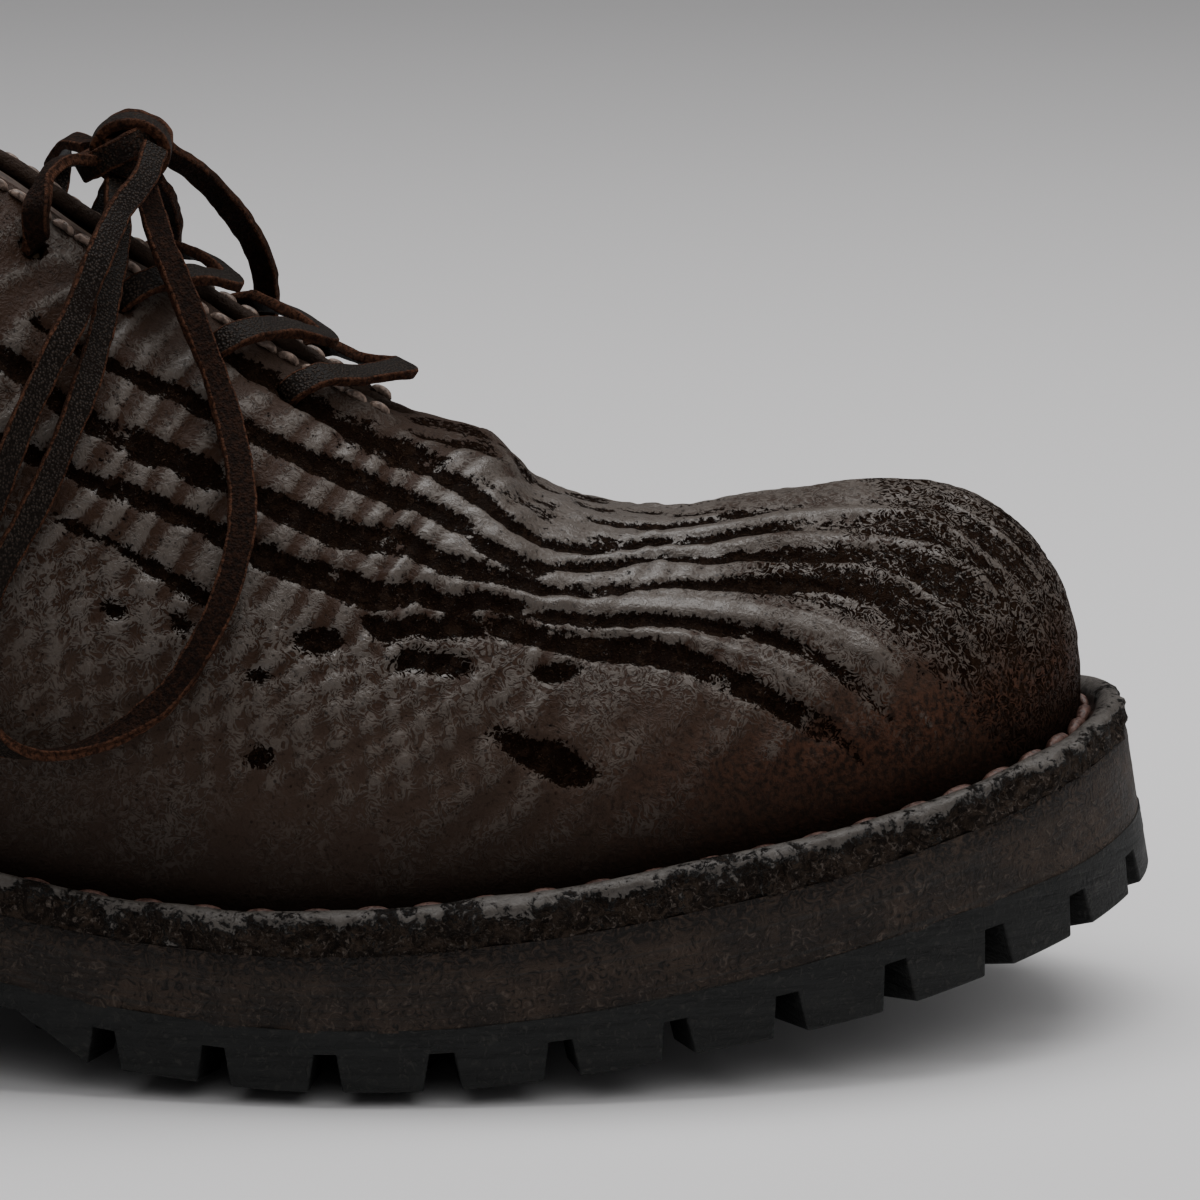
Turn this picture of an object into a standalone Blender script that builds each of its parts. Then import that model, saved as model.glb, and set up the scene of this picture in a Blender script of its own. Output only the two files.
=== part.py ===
"""A plain toe derby for the right foot: a hollow one-piece leather upper on a welted sole with rubber lugs.

The shoe stands on z = 0 with its toe toward +X and its outer side toward -Y. The tables are in
millimetres, with x counted from the back of the heel, and the meshes are made in metres.
"""

import math

import bmesh
import bpy
import numpy as np

MM = 0.001
LATERAL, MEDIAL = -1.0, 1.0

# Thickness of the layers, and how far below the welt's lip each one starts
GAP = 0.3
WELT_HIGH = 5.7
MIDSOLE_HIGH = 9.0
BASE_HIGH = 3.4
MIDSOLE_TOP = WELT_HIGH
MIDSOLE_BOTTOM = MIDSOLE_TOP + MIDSOLE_HIGH
BASE_TOP = MIDSOLE_BOTTOM + GAP
BASE_BOTTOM = BASE_TOP + BASE_HIGH
LUG_BOTTOM = 23.9
TOE_LUG_ROWS = (
    # x, extra height of the lugs toward the toe
    (0.0, 0.0), (235.0, 0.0), (275.0, 1.4), (310.0, 1.8),
)
LUG_SINK = 1.2
INSOLE_HIGH = 3.6

# The edge of the sole at the welt's lip, from the back of the heel to the tip of the toe
TOE_TIP = (301.0, 7.0)
HEEL_BACK = (0.0, 0.0)
EDGE_ROWS = {
    # x, y
    LATERAL: ((5.0, -17.5), (20.0, -30.5), (42.0, -36.0), (78.0, -37.0), (112.0, -38.0),
              (145.0, -44.5), (186.0, -52.0), (216.0, -51.0), (247.0, -45.0), (272.0, -35.0),
              (289.0, -22.0), (298.5, -7.0)),
    MEDIAL: ((5.0, 17.0), (20.0, 29.5), (42.0, 35.0), (78.0, 33.0), (112.0, 31.0), (145.0, 35.0),
             (188.0, 45.5), (222.0, 51.0), (250.0, 49.0), (274.0, 42.0), (290.0, 31.0),
             (298.5, 19.0)),
}
# Height of the welt's lip over the floor along the shoe
LIP_ROWS = (
    # x, z
    (0.0, 47.0), (40.0, 47.0), (75.0, 45.0), (100.0, 40.5), (120.0, 36.0), (142.0, 31.3),
    (165.0, 27.6), (185.0, 26.2), (200.0, 26.3), (215.0, 27.4), (240.0, 31.0), (260.0, 35.0),
    (275.0, 39.0), (286.0, 42.4), (297.0, 46.2), (308.0, 50.2),
)
# How the layers part from even thickness: the welt swells at the ball, the midsole grows toward the toe
SWELL_ROWS = (
    # x, how much higher the lip is, how much lower the rubber is
    (0.0, 0.0, 0.0), (150.0, 0.0, 0.0), (170.0, 0.6, 0.0), (190.0, 1.7, 0.0), (212.0, 2.7, 0.0),
    (239.0, 2.7, 0.0), (260.0, 1.8, 0.0), (274.0, 1.0, 0.3), (286.0, 0.2, 1.4), (296.0, -0.6, 2.6),
    (308.0, -1.2, 3.0),
)
SWELL_DEPTHS, SWELL_SHARES = (0.0, MIDSOLE_TOP, MIDSOLE_BOTTOM), (1.0, 0.55, 0.0)
SINK_DEPTHS, SINK_SHARES = (MIDSOLE_TOP, MIDSOLE_BOTTOM, BASE_BOTTOM, LUG_BOTTOM), (0.0, 1.0, 1.0, 0.3)
TOE_LEAN = 0.6

# How far the upper's lower edge is set in from the edge of the sole
INSET_ROWS = (
    # s along a side, inset
    (0.00, 4.8), (0.25, 4.8), (0.42, 5.4), (0.55, 7.6), (0.70, 8.4), (0.88, 8.2), (1.00, 7.6),
)

# The last: one row for each section, from the heel (s = 0) to the toe (s = 1). A section rises from
# the lower edge at side_lean to the top point, which it meets at top_lean, both from the vertical.
LAST_ROWS = (
    # s, top_x, top_half, top_z, top_lean, top_reach, side_lean, side_reach
    (0.000, 9.0, 0.0, 110.0, 14.0, 26.0, 16.0, 25.0),
    (0.080, 13.0, 16.0, 108.5, 12.0, 24.0, 15.0, 23.0),
    (0.150, 28.0, 25.0, 104.0, 9.0, 21.0, 13.0, 20.0),
    (0.265, 68.0, 29.0, 98.0, 10.0, 20.0, 10.0, 18.0),
    (0.340, 98.0, 24.5, 105.5, 22.0, 26.0, 10.0, 22.0),
    (0.398, 121.0, 16.0, 121.0, 40.0, 34.0, 10.0, 28.0),
    (0.420, 128.0, 12.6, 126.6, 47.0, 33.0, 11.0, 28.0),
    (0.440, 134.0, 10.8, 126.6, 51.0, 32.0, 12.0, 28.0),
    (0.500, 155.0, 9.0, 114.6, 58.0, 29.0, 15.0, 27.0),
    (0.570, 178.0, 6.5, 100.4, 66.0, 28.0, 19.0, 25.0),
    (0.618, 195.0, 4.4, 90.2, 76.0, 27.0, 21.0, 23.0),
    (0.636, 200.0, 0.0, 87.6, 90.0, 26.0, 21.0, 23.0),
    (0.662, 208.3, 0.0, 86.0, 90.0, 25.0, 21.0, 23.0),
    (0.676, 212.6, 0.0, 83.0, 90.0, 26.0, 21.0, 23.0),
    (0.690, 216.6, 0.0, 78.2, 90.0, 27.0, 20.0, 24.0),
    (0.722, 225.6, 0.0, 74.4, 90.0, 29.0, 18.0, 25.0),
    (0.760, 234.0, 0.0, 73.4, 90.0, 29.0, 17.0, 24.0),
    (0.820, 246.0, 0.0, 75.1, 90.0, 28.0, 15.0, 23.0),
    (0.900, 259.0, 0.0, 77.4, 90.0, 25.0, 12.0, 21.5),
    (1.000, 266.0, 0.0, 78.2, 90.0, 23.5, 11.0, 20.0),
)
# Where the middle line of the top lies across the shoe
MIDDLE_ROWS = (
    # x, y
    (0.0, 0.0), (60.0, 0.0), (200.0, 0.0), (235.0, 2.0), (266.0, 5.0), (300.0, 7.0),
)
FACING_TOP_S, THROAT_S = 0.430, 0.636
HEEL_SECTIONS, FACING_SECTIONS, VAMP_SECTIONS = 16, 11, 15
RINGS = 13
WALL = 2.4

# Eyelets in each facing, as sections of the last, and their distance from the facing's edge
EYELET_S = (0.581, 0.549, 0.510, 0.475)
EYELET_BACK = 8.5
EYELET_RADIUS = 2.0
EYELET_SIDES = 8

# Tongue, in sections of the last, with the distances from the facing's edge of the lines it follows
TONGUE_FROM_S, TONGUE_TO_S, TONGUE_SECTIONS = 0.447, 0.664, 12
TONGUE_BACK = (19.0, 12.0, 6.0, 1.0)
TONGUE_GAP = 1.0
TONGUE_WALL = 2.2
TONGUE_TOP = (
    # reach past the facing, narrowing, sinking
    (8.0, 2.5, 2.6), (8.0, 4.0, 0.6),
)

# Welt, from its outer wall over the lip to the channel beside the upper
WELT_ROWS = (
    # share of the width, height over the midsole
    (0.00, GAP), (0.00, 4.3), (0.13, 5.4), (0.30, 5.7), (0.46, 5.1), (0.58, 3.3), (0.84, 2.6),
    (1.00, GAP),
)

# Lugs round the forepart
LUG_START_X = 156.6
LUG_PITCH = 15.7
LUG_NOTCH, LUG_TAPER = 2.6, 1.1
LUG_DEEP = 15.0
LUG_STEPS = 3
WAIST_LUG = 13.5
CROWN = 2.3
CENTRE_GAP = 4.5
CENTRE_LONG = 11.5
CENTRE_WIDE = 22.0
CENTRE_FIRST_X, CENTRE_LAST_X = 150.0, 284.0
FLAT_FROM_X, FLAT_TO_X = 168.0, 214.0

# Laces, flat strips of leather: bars over the throat, strands to the knot, and the bow
LACE_WIDE, LACE_THICK = 3.8, 2.0
LACE_LIFT = 1.6
BAR_PASS_S, BAR_PASS_LIFT = 0.024, 2.9
BAR_ROWS = (
    # eyelet row, x, y and z of the bar's foremost point
    (0, 197.5, 1.0, 95.0),
    (1, 186.5, 0.0, 99.4),
    (2, 173.0, 0.0, 107.6),
)
TOP_ROWS = (
    # x, distance from the middle, z of a strand from a top eyelet to the knot
    (147.0, 19.0, 120.6), (147.8, 15.2, 124.0), (149.8, 10.8, 126.0), (153.2, 6.0, 125.8),
)
KNOT_PLACE = (158.6, -1.0, 126.6)
KNOT_RADII = (5.8, 6.0, 5.6)
BOW_ROWS = {
    # x, y, z along each cord of the bow, from the knot
    "lace_loop_lateral": (
        (157.6, -6.3, 122.5), (158.0, -14.0, 116.5), (157.3, -19.8, 110.9), (155.3, -26.8, 101.0),
        (151.6, -33.2, 90.7), (146.3, -38.0, 79.7), (142.6, -40.0, 72.9), (139.6, -41.4, 64.8),
        (138.9, -42.2, 57.0), (141.4, -42.6, 50.6), (148.0, -43.4, 48.4), (158.8, -44.2, 51.4),
        (165.2, -43.9, 56.0), (171.0, -41.7, 64.0), (174.2, -38.7, 71.0), (176.0, -33.4, 80.2),
        (175.4, -29.6, 86.0), (172.6, -23.6, 95.4), (168.0, -19.0, 107.0), (164.0, -14.4, 115.8),
        (161.4, -6.4, 121.6),
    ),
    "lace_loop_medial": (
        (163.5, 3.5, 125.7), (168.4, 8.4, 121.4), (172.4, 12.4, 116.2), (175.4, 16.4, 110.6),
        (177.0, 19.6, 104.6), (176.4, 24.0, 96.0), (174.4, 29.0, 86.0), (171.2, 33.4, 76.0),
        (165.8, 36.4, 66.0), (158.8, 36.8, 59.4), (150.4, 36.2, 57.6), (143.4, 35.6, 61.6),
        (140.4, 35.0, 70.0), (141.6, 34.2, 80.0), (144.4, 31.8, 92.0), (148.2, 27.6, 102.4),
        (152.0, 22.0, 111.0), (155.6, 14.0, 118.6), (157.8, 5.4, 123.4),
    ),
    "lace_end_lateral": (
        (162.8, -7.2, 127.6), (161.8, -11.6, 124.4), (158.8, -16.8, 120.6), (155.9, -23.4, 114.7),
        (153.2, -27.4, 108.0), (150.2, -30.8, 102.4),
        (144.9, -35.8, 90.8), (142.3, -37.6, 84.0), (137.6, -39.4, 74.4), (131.6, -40.4, 64.0),
        (125.0, -40.2, 55.0), (119.4, -39.2, 49.0),
    ),
    "lace_end_medial": (
        (161.6, 5.0, 121.8), (163.2, 12.6, 116.0), (162.6, 20.4, 107.6), (160.0, 26.4, 98.0),
        (156.0, 31.0, 88.0), (152.6, 34.6, 78.0), (150.2, 38.2, 67.0), (149.2, 40.9, 58.0),
        (148.4, 40.4, 49.0),
    ),
}
CORD_STEP = 8.0
KNOT_AROUND, KNOT_UP = 12, 8

# Heel
HEEL_BREAST_X = 88.0
HEEL_LIFT_HIGH = 9.0
HEEL_TAPER = 1.5
HEEL_NOTCH_WIDE, HEEL_NOTCH_HIGH, HEEL_NOTCH_DEEP = 3.2, 4.6, 13.0
HEEL_NOTCH_S = (0.07, 0.13, 0.19, 0.25)

# Colours
LEATHER_DARK = (0.045, 0.03, 0.022)
LEATHER_EDGE = (0.07, 0.05, 0.04)
LEATHER_LINING = (0.16, 0.10, 0.06)
RUBBER_DARK = (0.02, 0.02, 0.021)
LACE_DARK = (0.035, 0.028, 0.024)


def smooth(rows, column, at, level_ends=False):
    """The column's value where the first column is at: a cubic through the rows that never overshoots."""
    xs = np.array([row[0] for row in rows])
    ys = np.array([row[column] for row in rows])
    steps = np.diff(xs)
    rises = np.diff(ys) / steps
    slopes = np.empty(len(xs))
    slopes[0], slopes[-1] = (0.0, 0.0) if level_ends else (rises[0], rises[-1])
    before, after = rises[:-1], rises[1:]
    first, second = 2 * steps[1:] + steps[:-1], steps[1:] + 2 * steps[:-1]
    same = before * after > 0
    safe_before = np.where(same, before, 1.0)
    safe_after = np.where(same, after, 1.0)
    blend = (first + second) / (first / safe_before + second / safe_after)
    slopes[1:-1] = np.where(same, blend, 0.0)
    at = np.asarray(at, float)
    k = np.clip(np.searchsorted(xs, at) - 1, 0, len(steps) - 1)
    t = np.clip((at - xs[k]) / steps[k], 0.0, 1.0)
    return (
        (2 * t**3 - 3 * t**2 + 1) * ys[k]
        + (t**3 - 2 * t**2 + t) * steps[k] * slopes[k]
        + (3 * t**2 - 2 * t**3) * ys[k + 1]
        + (t**3 - t**2) * steps[k] * slopes[k + 1]
    )


def edge_line(side):
    """A fine line along one side of the sole's edge, square to the shoe's length at heel and toe."""
    points = np.array((HEEL_BACK, *EDGE_ROWS[side], TOE_TIP))
    chords = np.linalg.norm(np.diff(points, axis=0), axis=1)
    knots = np.concatenate([[0.0], np.cumsum(chords)])
    turns = np.empty_like(points)
    turns[1:-1] = (points[2:] - points[:-2]) / (knots[2:] - knots[:-2])[:, None]
    turns[0] = (0.0, side)
    turns[-1] = (0.0, -side)
    share = np.linspace(0.0, 1.0, 24, endpoint=False)[None, :, None]
    step = chords[:, None, None]
    line = (
        (2 * share**3 - 3 * share**2 + 1) * points[:-1, None]
        + (share**3 - 2 * share**2 + share) * step * turns[:-1, None]
        + (3 * share**2 - 2 * share**3) * points[1:, None]
        + (share**3 - share**2) * step * turns[1:, None]
    )
    return np.vstack([line.reshape(-1, 2), points[-1:]])


EDGE_LINES = {side: edge_line(side) for side in (LATERAL, MEDIAL)}


def edge_lengths(side):
    line = EDGE_LINES[side]
    return np.concatenate([[0.0], np.cumsum(np.linalg.norm(np.diff(line, axis=0), axis=1))])


def edge_point(side, s, inset):
    """Points at shares s of a side's length, set in from the edge of the sole, as x and y."""
    line, long = EDGE_LINES[side], edge_lengths(side)
    at = np.asarray(s, float) * long[-1]
    ahead = np.gradient(line, long, axis=0)
    ahead[0], ahead[-1] = (0.0, side), (0.0, -side)
    point = np.stack([np.interp(at, long, line[:, k]) for k in (0, 1)], axis=-1)
    along = np.stack([np.interp(at, long, ahead[:, k]) for k in (0, 1)], axis=-1)
    along /= np.linalg.norm(along, axis=-1, keepdims=True)
    outward = np.stack([-along[..., 1], along[..., 0]], axis=-1) * side
    return point - outward * np.asarray(inset, float)[..., None]


def s_at(side, x):
    """The share of a side's length at which its edge passes x."""
    line, long = EDGE_LINES[side], edge_lengths(side)
    return np.interp(x, line[:, 0], long) / long[-1]


def lip_height(x):
    return smooth(LIP_ROWS, 1, x)


def lip_slope(x):
    return (lip_height(x + 1.0) - lip_height(x - 1.0)) / 2.0


def layer_height(x, depth):
    """Height of a layer that lies depth under the lip, measured square to the sole, with swell and sink."""
    swell = smooth(SWELL_ROWS, 1, x) * np.interp(depth, SWELL_DEPTHS, SWELL_SHARES)
    sink = smooth(SWELL_ROWS, 2, x) * np.interp(depth, SINK_DEPTHS, SINK_SHARES)
    return lip_height(x) - depth * np.sqrt(1.0 + lip_slope(x) ** 2) + swell - sink


def sole_point(side, s, inset, depth):
    """Points of the sole, depth below the lip, leaning forward with the depth where the toe springs up."""
    flat = edge_point(side, s, inset)
    slope = np.clip(lip_slope(flat[..., 0]), 0.0, None)
    x = flat[..., 0] + TOE_LEAN * depth * slope / np.sqrt(1.0 + slope**2)
    return np.stack([x, flat[..., 1], layer_height(x, depth)], axis=-1)


def solid(name, points, faces, colour, roughness):
    """A closed mesh object from points in millimetres, welded where they coincide and facing out."""
    mesh = bpy.data.meshes.new(name)
    placed = (np.asarray(points, float) - ORIGIN) * MM
    mesh.from_pydata(placed.tolist(), [], faces)
    work = bmesh.new()
    work.from_mesh(mesh)
    bmesh.ops.remove_doubles(work, verts=work.verts, dist=2e-6)
    bmesh.ops.dissolve_degenerate(work, edges=work.edges, dist=1e-7)
    bmesh.ops.recalc_face_normals(work, faces=work.faces)
    work.to_mesh(mesh)
    work.free()
    made = bpy.data.objects.new(name, mesh)
    bpy.context.scene.collection.objects.link(made)
    return painted(made, colour, roughness)


def painted(made, colour, roughness):
    material = bpy.data.materials.new(made.name)
    material.use_nodes = True
    shader = material.node_tree.nodes["Principled BSDF"]
    shader.inputs["Base Color"].default_value = (*colour, 1.0)
    shader.inputs["Roughness"].default_value = roughness
    shader.inputs["Metallic"].default_value = 0.0
    made.data.materials.append(material)
    return made


def ring_faces(rows, around, start=0):
    """Quads between closed rows of points, each row with the same count around."""
    return [
        (
            start + row * around + k,
            start + row * around + (k + 1) % around,
            start + (row + 1) * around + (k + 1) % around,
            start + (row + 1) * around + k,
        )
        for row in range(rows - 1)
        for k in range(around)
    ]


def plate(name, stations, top, bottom, colour, roughness):
    """A plate between two pairs of edges: top and bottom each give the point of a side at the stations."""
    count = len(stations)
    edges = [top(LATERAL), top(MEDIAL), bottom(MEDIAL), bottom(LATERAL)]
    points = np.concatenate(edges)
    faces = []
    for strip in range(4):
        near, far = strip * count, (strip + 1) % 4 * count
        faces += [(near + k, near + k + 1, far + k + 1, far + k) for k in range(count - 1)]
    faces += [tuple(edge * count + k for edge in range(4)) for k in (0, count - 1)]
    return solid(name, points, faces, colour, roughness)


def boolean(target, tool, operation):
    tool.hide_render = True
    tool.display_type = "WIRE"
    change = target.modifiers.new(tool.name, "BOOLEAN")
    change.solver = "EXACT"
    change.use_self = True
    change.operation = operation
    change.object = tool


def feather_inset(s):
    return smooth(INSET_ROWS, 1, s, level_ends=True)


def section(side, s, rise):
    """Points of the upper's outside: sections s along the last, at shares rise of the way to the top."""
    s, rise = np.broadcast_arrays(np.asarray(s, float), np.asarray(rise, float))
    top_x, top_half, top_z, top_lean, top_reach, side_lean, side_reach = (
        smooth(LAST_ROWS, column, s, level_ends=True) for column in range(1, 8)
    )
    low = sole_point(side, s, feather_inset(s), MIDSOLE_TOP - GAP)
    middle = smooth(MIDDLE_ROWS, 1, top_x)
    top = np.stack([top_x, middle + side * top_half, top_z], axis=-1)
    outward = low[..., :2] - np.stack([top_x, middle], axis=-1)
    outward /= np.linalg.norm(outward, axis=-1, keepdims=True)
    top_lean, side_lean = np.radians(top_lean), np.radians(side_lean)
    low_way = np.concatenate(
        [outward * np.sin(side_lean)[..., None], np.cos(side_lean)[..., None]], axis=-1
    )
    top_way = np.concatenate(
        [outward * np.sin(top_lean)[..., None], -np.cos(top_lean)[..., None]], axis=-1
    )
    low_pull = low + low_way * side_reach[..., None]
    top_pull = top + top_way * top_reach[..., None]
    t = rise[..., None]
    return (
        (1 - t) ** 3 * low
        + 3 * (1 - t) ** 2 * t * low_pull
        + 3 * (1 - t) * t**2 * top_pull
        + t**3 * top
    )


def section_normal(side, s, rise):
    """Unit vectors out of the upper's surface."""
    small = 1e-3
    s, rise = np.asarray(s, float), np.asarray(rise, float)
    ahead = section(side, np.minimum(s + small, 1.0), rise) - section(side, s - small, rise)
    up = section(side, s, np.minimum(rise + small, 1.0)) - section(side, s, rise - small)
    out = np.cross(up, ahead) * side
    return out / np.linalg.norm(out, axis=-1, keepdims=True)


def rise_back(side, s, distance):
    """The share of the way up section s that lies distance below its top, measured along the leather."""
    shares = np.linspace(0.0, 1.0, 201)
    line = section(side, s, shares)
    long = np.concatenate([[0.0], np.cumsum(np.linalg.norm(np.diff(line, axis=0), axis=1))])
    return float(np.interp(long[-1] - distance, long, shares))


def upper_stations():
    heel = FACING_TOP_S * np.linspace(0.0, 1.0, HEEL_SECTIONS, endpoint=False) ** 1.25
    facing = FACING_TOP_S + (THROAT_S - FACING_TOP_S) * np.linspace(0.0, 1.0, FACING_SECTIONS) ** 0.85
    vamp = THROAT_S + (1.0 - THROAT_S) * np.linspace(0.0, 1.0, VAMP_SECTIONS + 1)[1:] ** 1.25
    return np.concatenate([heel, facing, vamp])


def make_upper():
    """The outside of the last as one skin, thickened inward, with the eyelets cut through it."""
    stations, rises = upper_stations(), np.linspace(0.0, 1.0, RINGS)
    points, faces = [], []
    for side in (LATERAL, MEDIAL):
        start = len(points) * len(stations) * RINGS
        grid = section(side, stations[:, None], rises[None, :])
        points.append(grid.reshape(-1, 3))
        for k in range(len(stations) - 1):
            for j in range(RINGS - 1):
                a = start + k * RINGS + j
                quad = (a, a + RINGS, a + RINGS + 1, a + 1)
                faces.append(quad if side == LATERAL else quad[::-1])
    made = solid("upper", np.concatenate(points), faces, LEATHER_DARK, 0.5)
    thicken(made, WALL)
    boolean(made, eyelet_cutter(), "DIFFERENCE")


def thicken(made, wall):
    thick = made.modifiers.new("wall", "SOLIDIFY")
    thick.thickness = wall * MM
    thick.offset = -1.0
    thick.use_even_offset = True
    thick.use_rim = True


def eyelet(side, row):
    """The place of an eyelet on the outside of its facing, and the way out of the leather there."""
    rise = rise_back(side, EYELET_S[row], EYELET_BACK)
    return section(side, EYELET_S[row], rise), section_normal(side, EYELET_S[row], rise)


def eyelet_cutter():
    """Short rods through the facings, joined in one tool."""
    points, faces = [], []
    turns = np.arange(EYELET_SIDES) * 2.0 * math.pi / EYELET_SIDES
    for side in (LATERAL, MEDIAL):
        for row in range(len(EYELET_S)):
            place, out = eyelet(side, row)
            across = np.cross(out, (1.0, 0.0, 0.0))
            across /= np.linalg.norm(across)
            up = np.cross(out, across)
            round_it = np.outer(np.cos(turns), across) + np.outer(np.sin(turns), up)
            start = len(points)
            for end in (-EYELET_RADIUS * 3.0, EYELET_RADIUS * 3.0):
                points.extend(place + EYELET_RADIUS * round_it + out * end)
            faces += ring_faces(2, EYELET_SIDES, start)
            faces.append(tuple(range(start, start + EYELET_SIDES)))
            faces.append(tuple(range(start + EYELET_SIDES, start + 2 * EYELET_SIDES)))
    return solid("eyelet_cutter", points, faces, LEATHER_DARK, 0.5)


def make_tongue():
    """A sheet under the facings: it follows the inside of the upper and bridges the throat."""
    stations = np.linspace(TONGUE_FROM_S, TONGUE_TO_S, TONGUE_SECTIONS)
    rows = []
    for s in stations:
        halves = {}
        for side in (LATERAL, MEDIAL):
            shares = np.array([rise_back(side, s, back) for back in TONGUE_BACK])
            under = WALL + TONGUE_GAP
            halves[side] = section(side, s, shares) - under * section_normal(side, s, shares)
        left, right = halves[LATERAL], halves[MEDIAL]
        slope = (left[-1, 2] - left[-2, 2]) / (left[-1, 1] - left[-2, 1])
        middle = (left[-1] + right[-1]) / 2.0
        middle[2] += slope * (right[-1, 1] - left[-1, 1]) / 4.0
        rows.append(np.vstack([left, middle[None], right[::-1]]))
    run = rows[0] - rows[1]
    run /= np.linalg.norm(run, axis=1, keepdims=True)
    narrower = np.linspace(-1.0, 1.0, run.shape[0])[:, None] * np.array([[0.0, 1.0, 0.0]])
    for reach, narrow, sink in TONGUE_TOP:
        rows.insert(0, rows[0] + run * reach - narrower * narrow - np.array((0.0, 0.0, sink)))
    across = rows[0].shape[0]
    faces = [
        (k * across + j, (k + 1) * across + j, (k + 1) * across + j + 1, k * across + j + 1)
        for k in range(len(rows) - 1)
        for j in range(across - 1)
    ]
    made = solid("tongue", np.concatenate(rows), faces, LEATHER_DARK, 0.6)
    thicken(made, TONGUE_WALL)


def sole_stations():
    heel = np.linspace(0.0, 0.12, 7)
    middle = np.linspace(0.12, 0.86, 26)[1:]
    toe = np.linspace(0.86, 1.0, 9)[1:]
    return np.concatenate([heel, middle, toe])


def make_welt():
    """A strip carried round the shoe: an outer wall, a rounded lip and a low channel beside the upper."""
    stations = sole_stations()
    rows = []
    for share, high in WELT_ROWS:
        sides = []
        for side in (LATERAL, MEDIAL):
            inset = share * (feather_inset(stations) - GAP)
            sides.append(sole_point(side, stations, inset, MIDSOLE_TOP - high))
        rows.append(np.concatenate([sides[0], sides[1][-2:0:-1]]))
    around = len(rows[0])
    faces = ring_faces(len(rows) + 1, around)
    count = len(rows) * around
    faces = [tuple(corner % count for corner in face) for face in faces]
    solid("welt", np.concatenate(rows), faces, LEATHER_EDGE, 0.55)


def block(corners, faces, points):
    """Adds a block to a list of points and faces: its corners run along the shoe, then top and bottom."""
    start, count = len(points), corners.shape[0]
    points.extend(corners.reshape(-1, 3))
    for k in range(count - 1):
        a, b = start + k * 4, start + (k + 1) * 4
        faces += [(a + j, a + (j + 1) % 4, b + (j + 1) % 4, b + j) for j in range(4)]
    faces.append(tuple(start + j for j in range(4)))
    faces.append(tuple(start + (count - 1) * 4 + j for j in range(4)))


def tread_height(x):
    """Height of the bottom of the inner lugs: on the floor under the ball, then up with the toe."""
    low = layer_height(x, LUG_BOTTOM) - CROWN - smooth(TOE_LUG_ROWS, 1, x)
    low = np.clip(low, 0.0, None)
    return np.where((x > FLAT_FROM_X) & (x < FLAT_TO_X), 0.0, low)


def edge_lug(from_s, to_s, side_of, rear_cut):
    """The corners of one lug at the edge: outside top and bottom, then inside bottom and top."""
    shares = np.linspace(0.0, 1.0, LUG_STEPS)
    tip = LUG_TAPER * (1.0 - 2.0 * shares)
    top = from_s + (to_s - from_s) * shares
    bottom = top + tip
    root = BASE_BOTTOM - LUG_SINK
    outside = side_of(bottom, 0.3, LUG_BOTTOM)
    outside[:, 2] -= smooth(TOE_LUG_ROWS, 1, outside[:, 0])
    inside = side_of(bottom, LUG_DEEP - 1.0, LUG_BOTTOM)
    inside[:, 2] = np.minimum(inside[:, 2], tread_height(inside[:, 0]) + CROWN / 2.0)
    if rear_cut:
        outside[0, 2] = inside[0, 2] = outside[0, 2] + rear_cut
    return np.stack(
        [side_of(top, 0.0, root), outside, inside, side_of(top, LUG_DEEP, root)], axis=1
    )


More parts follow.
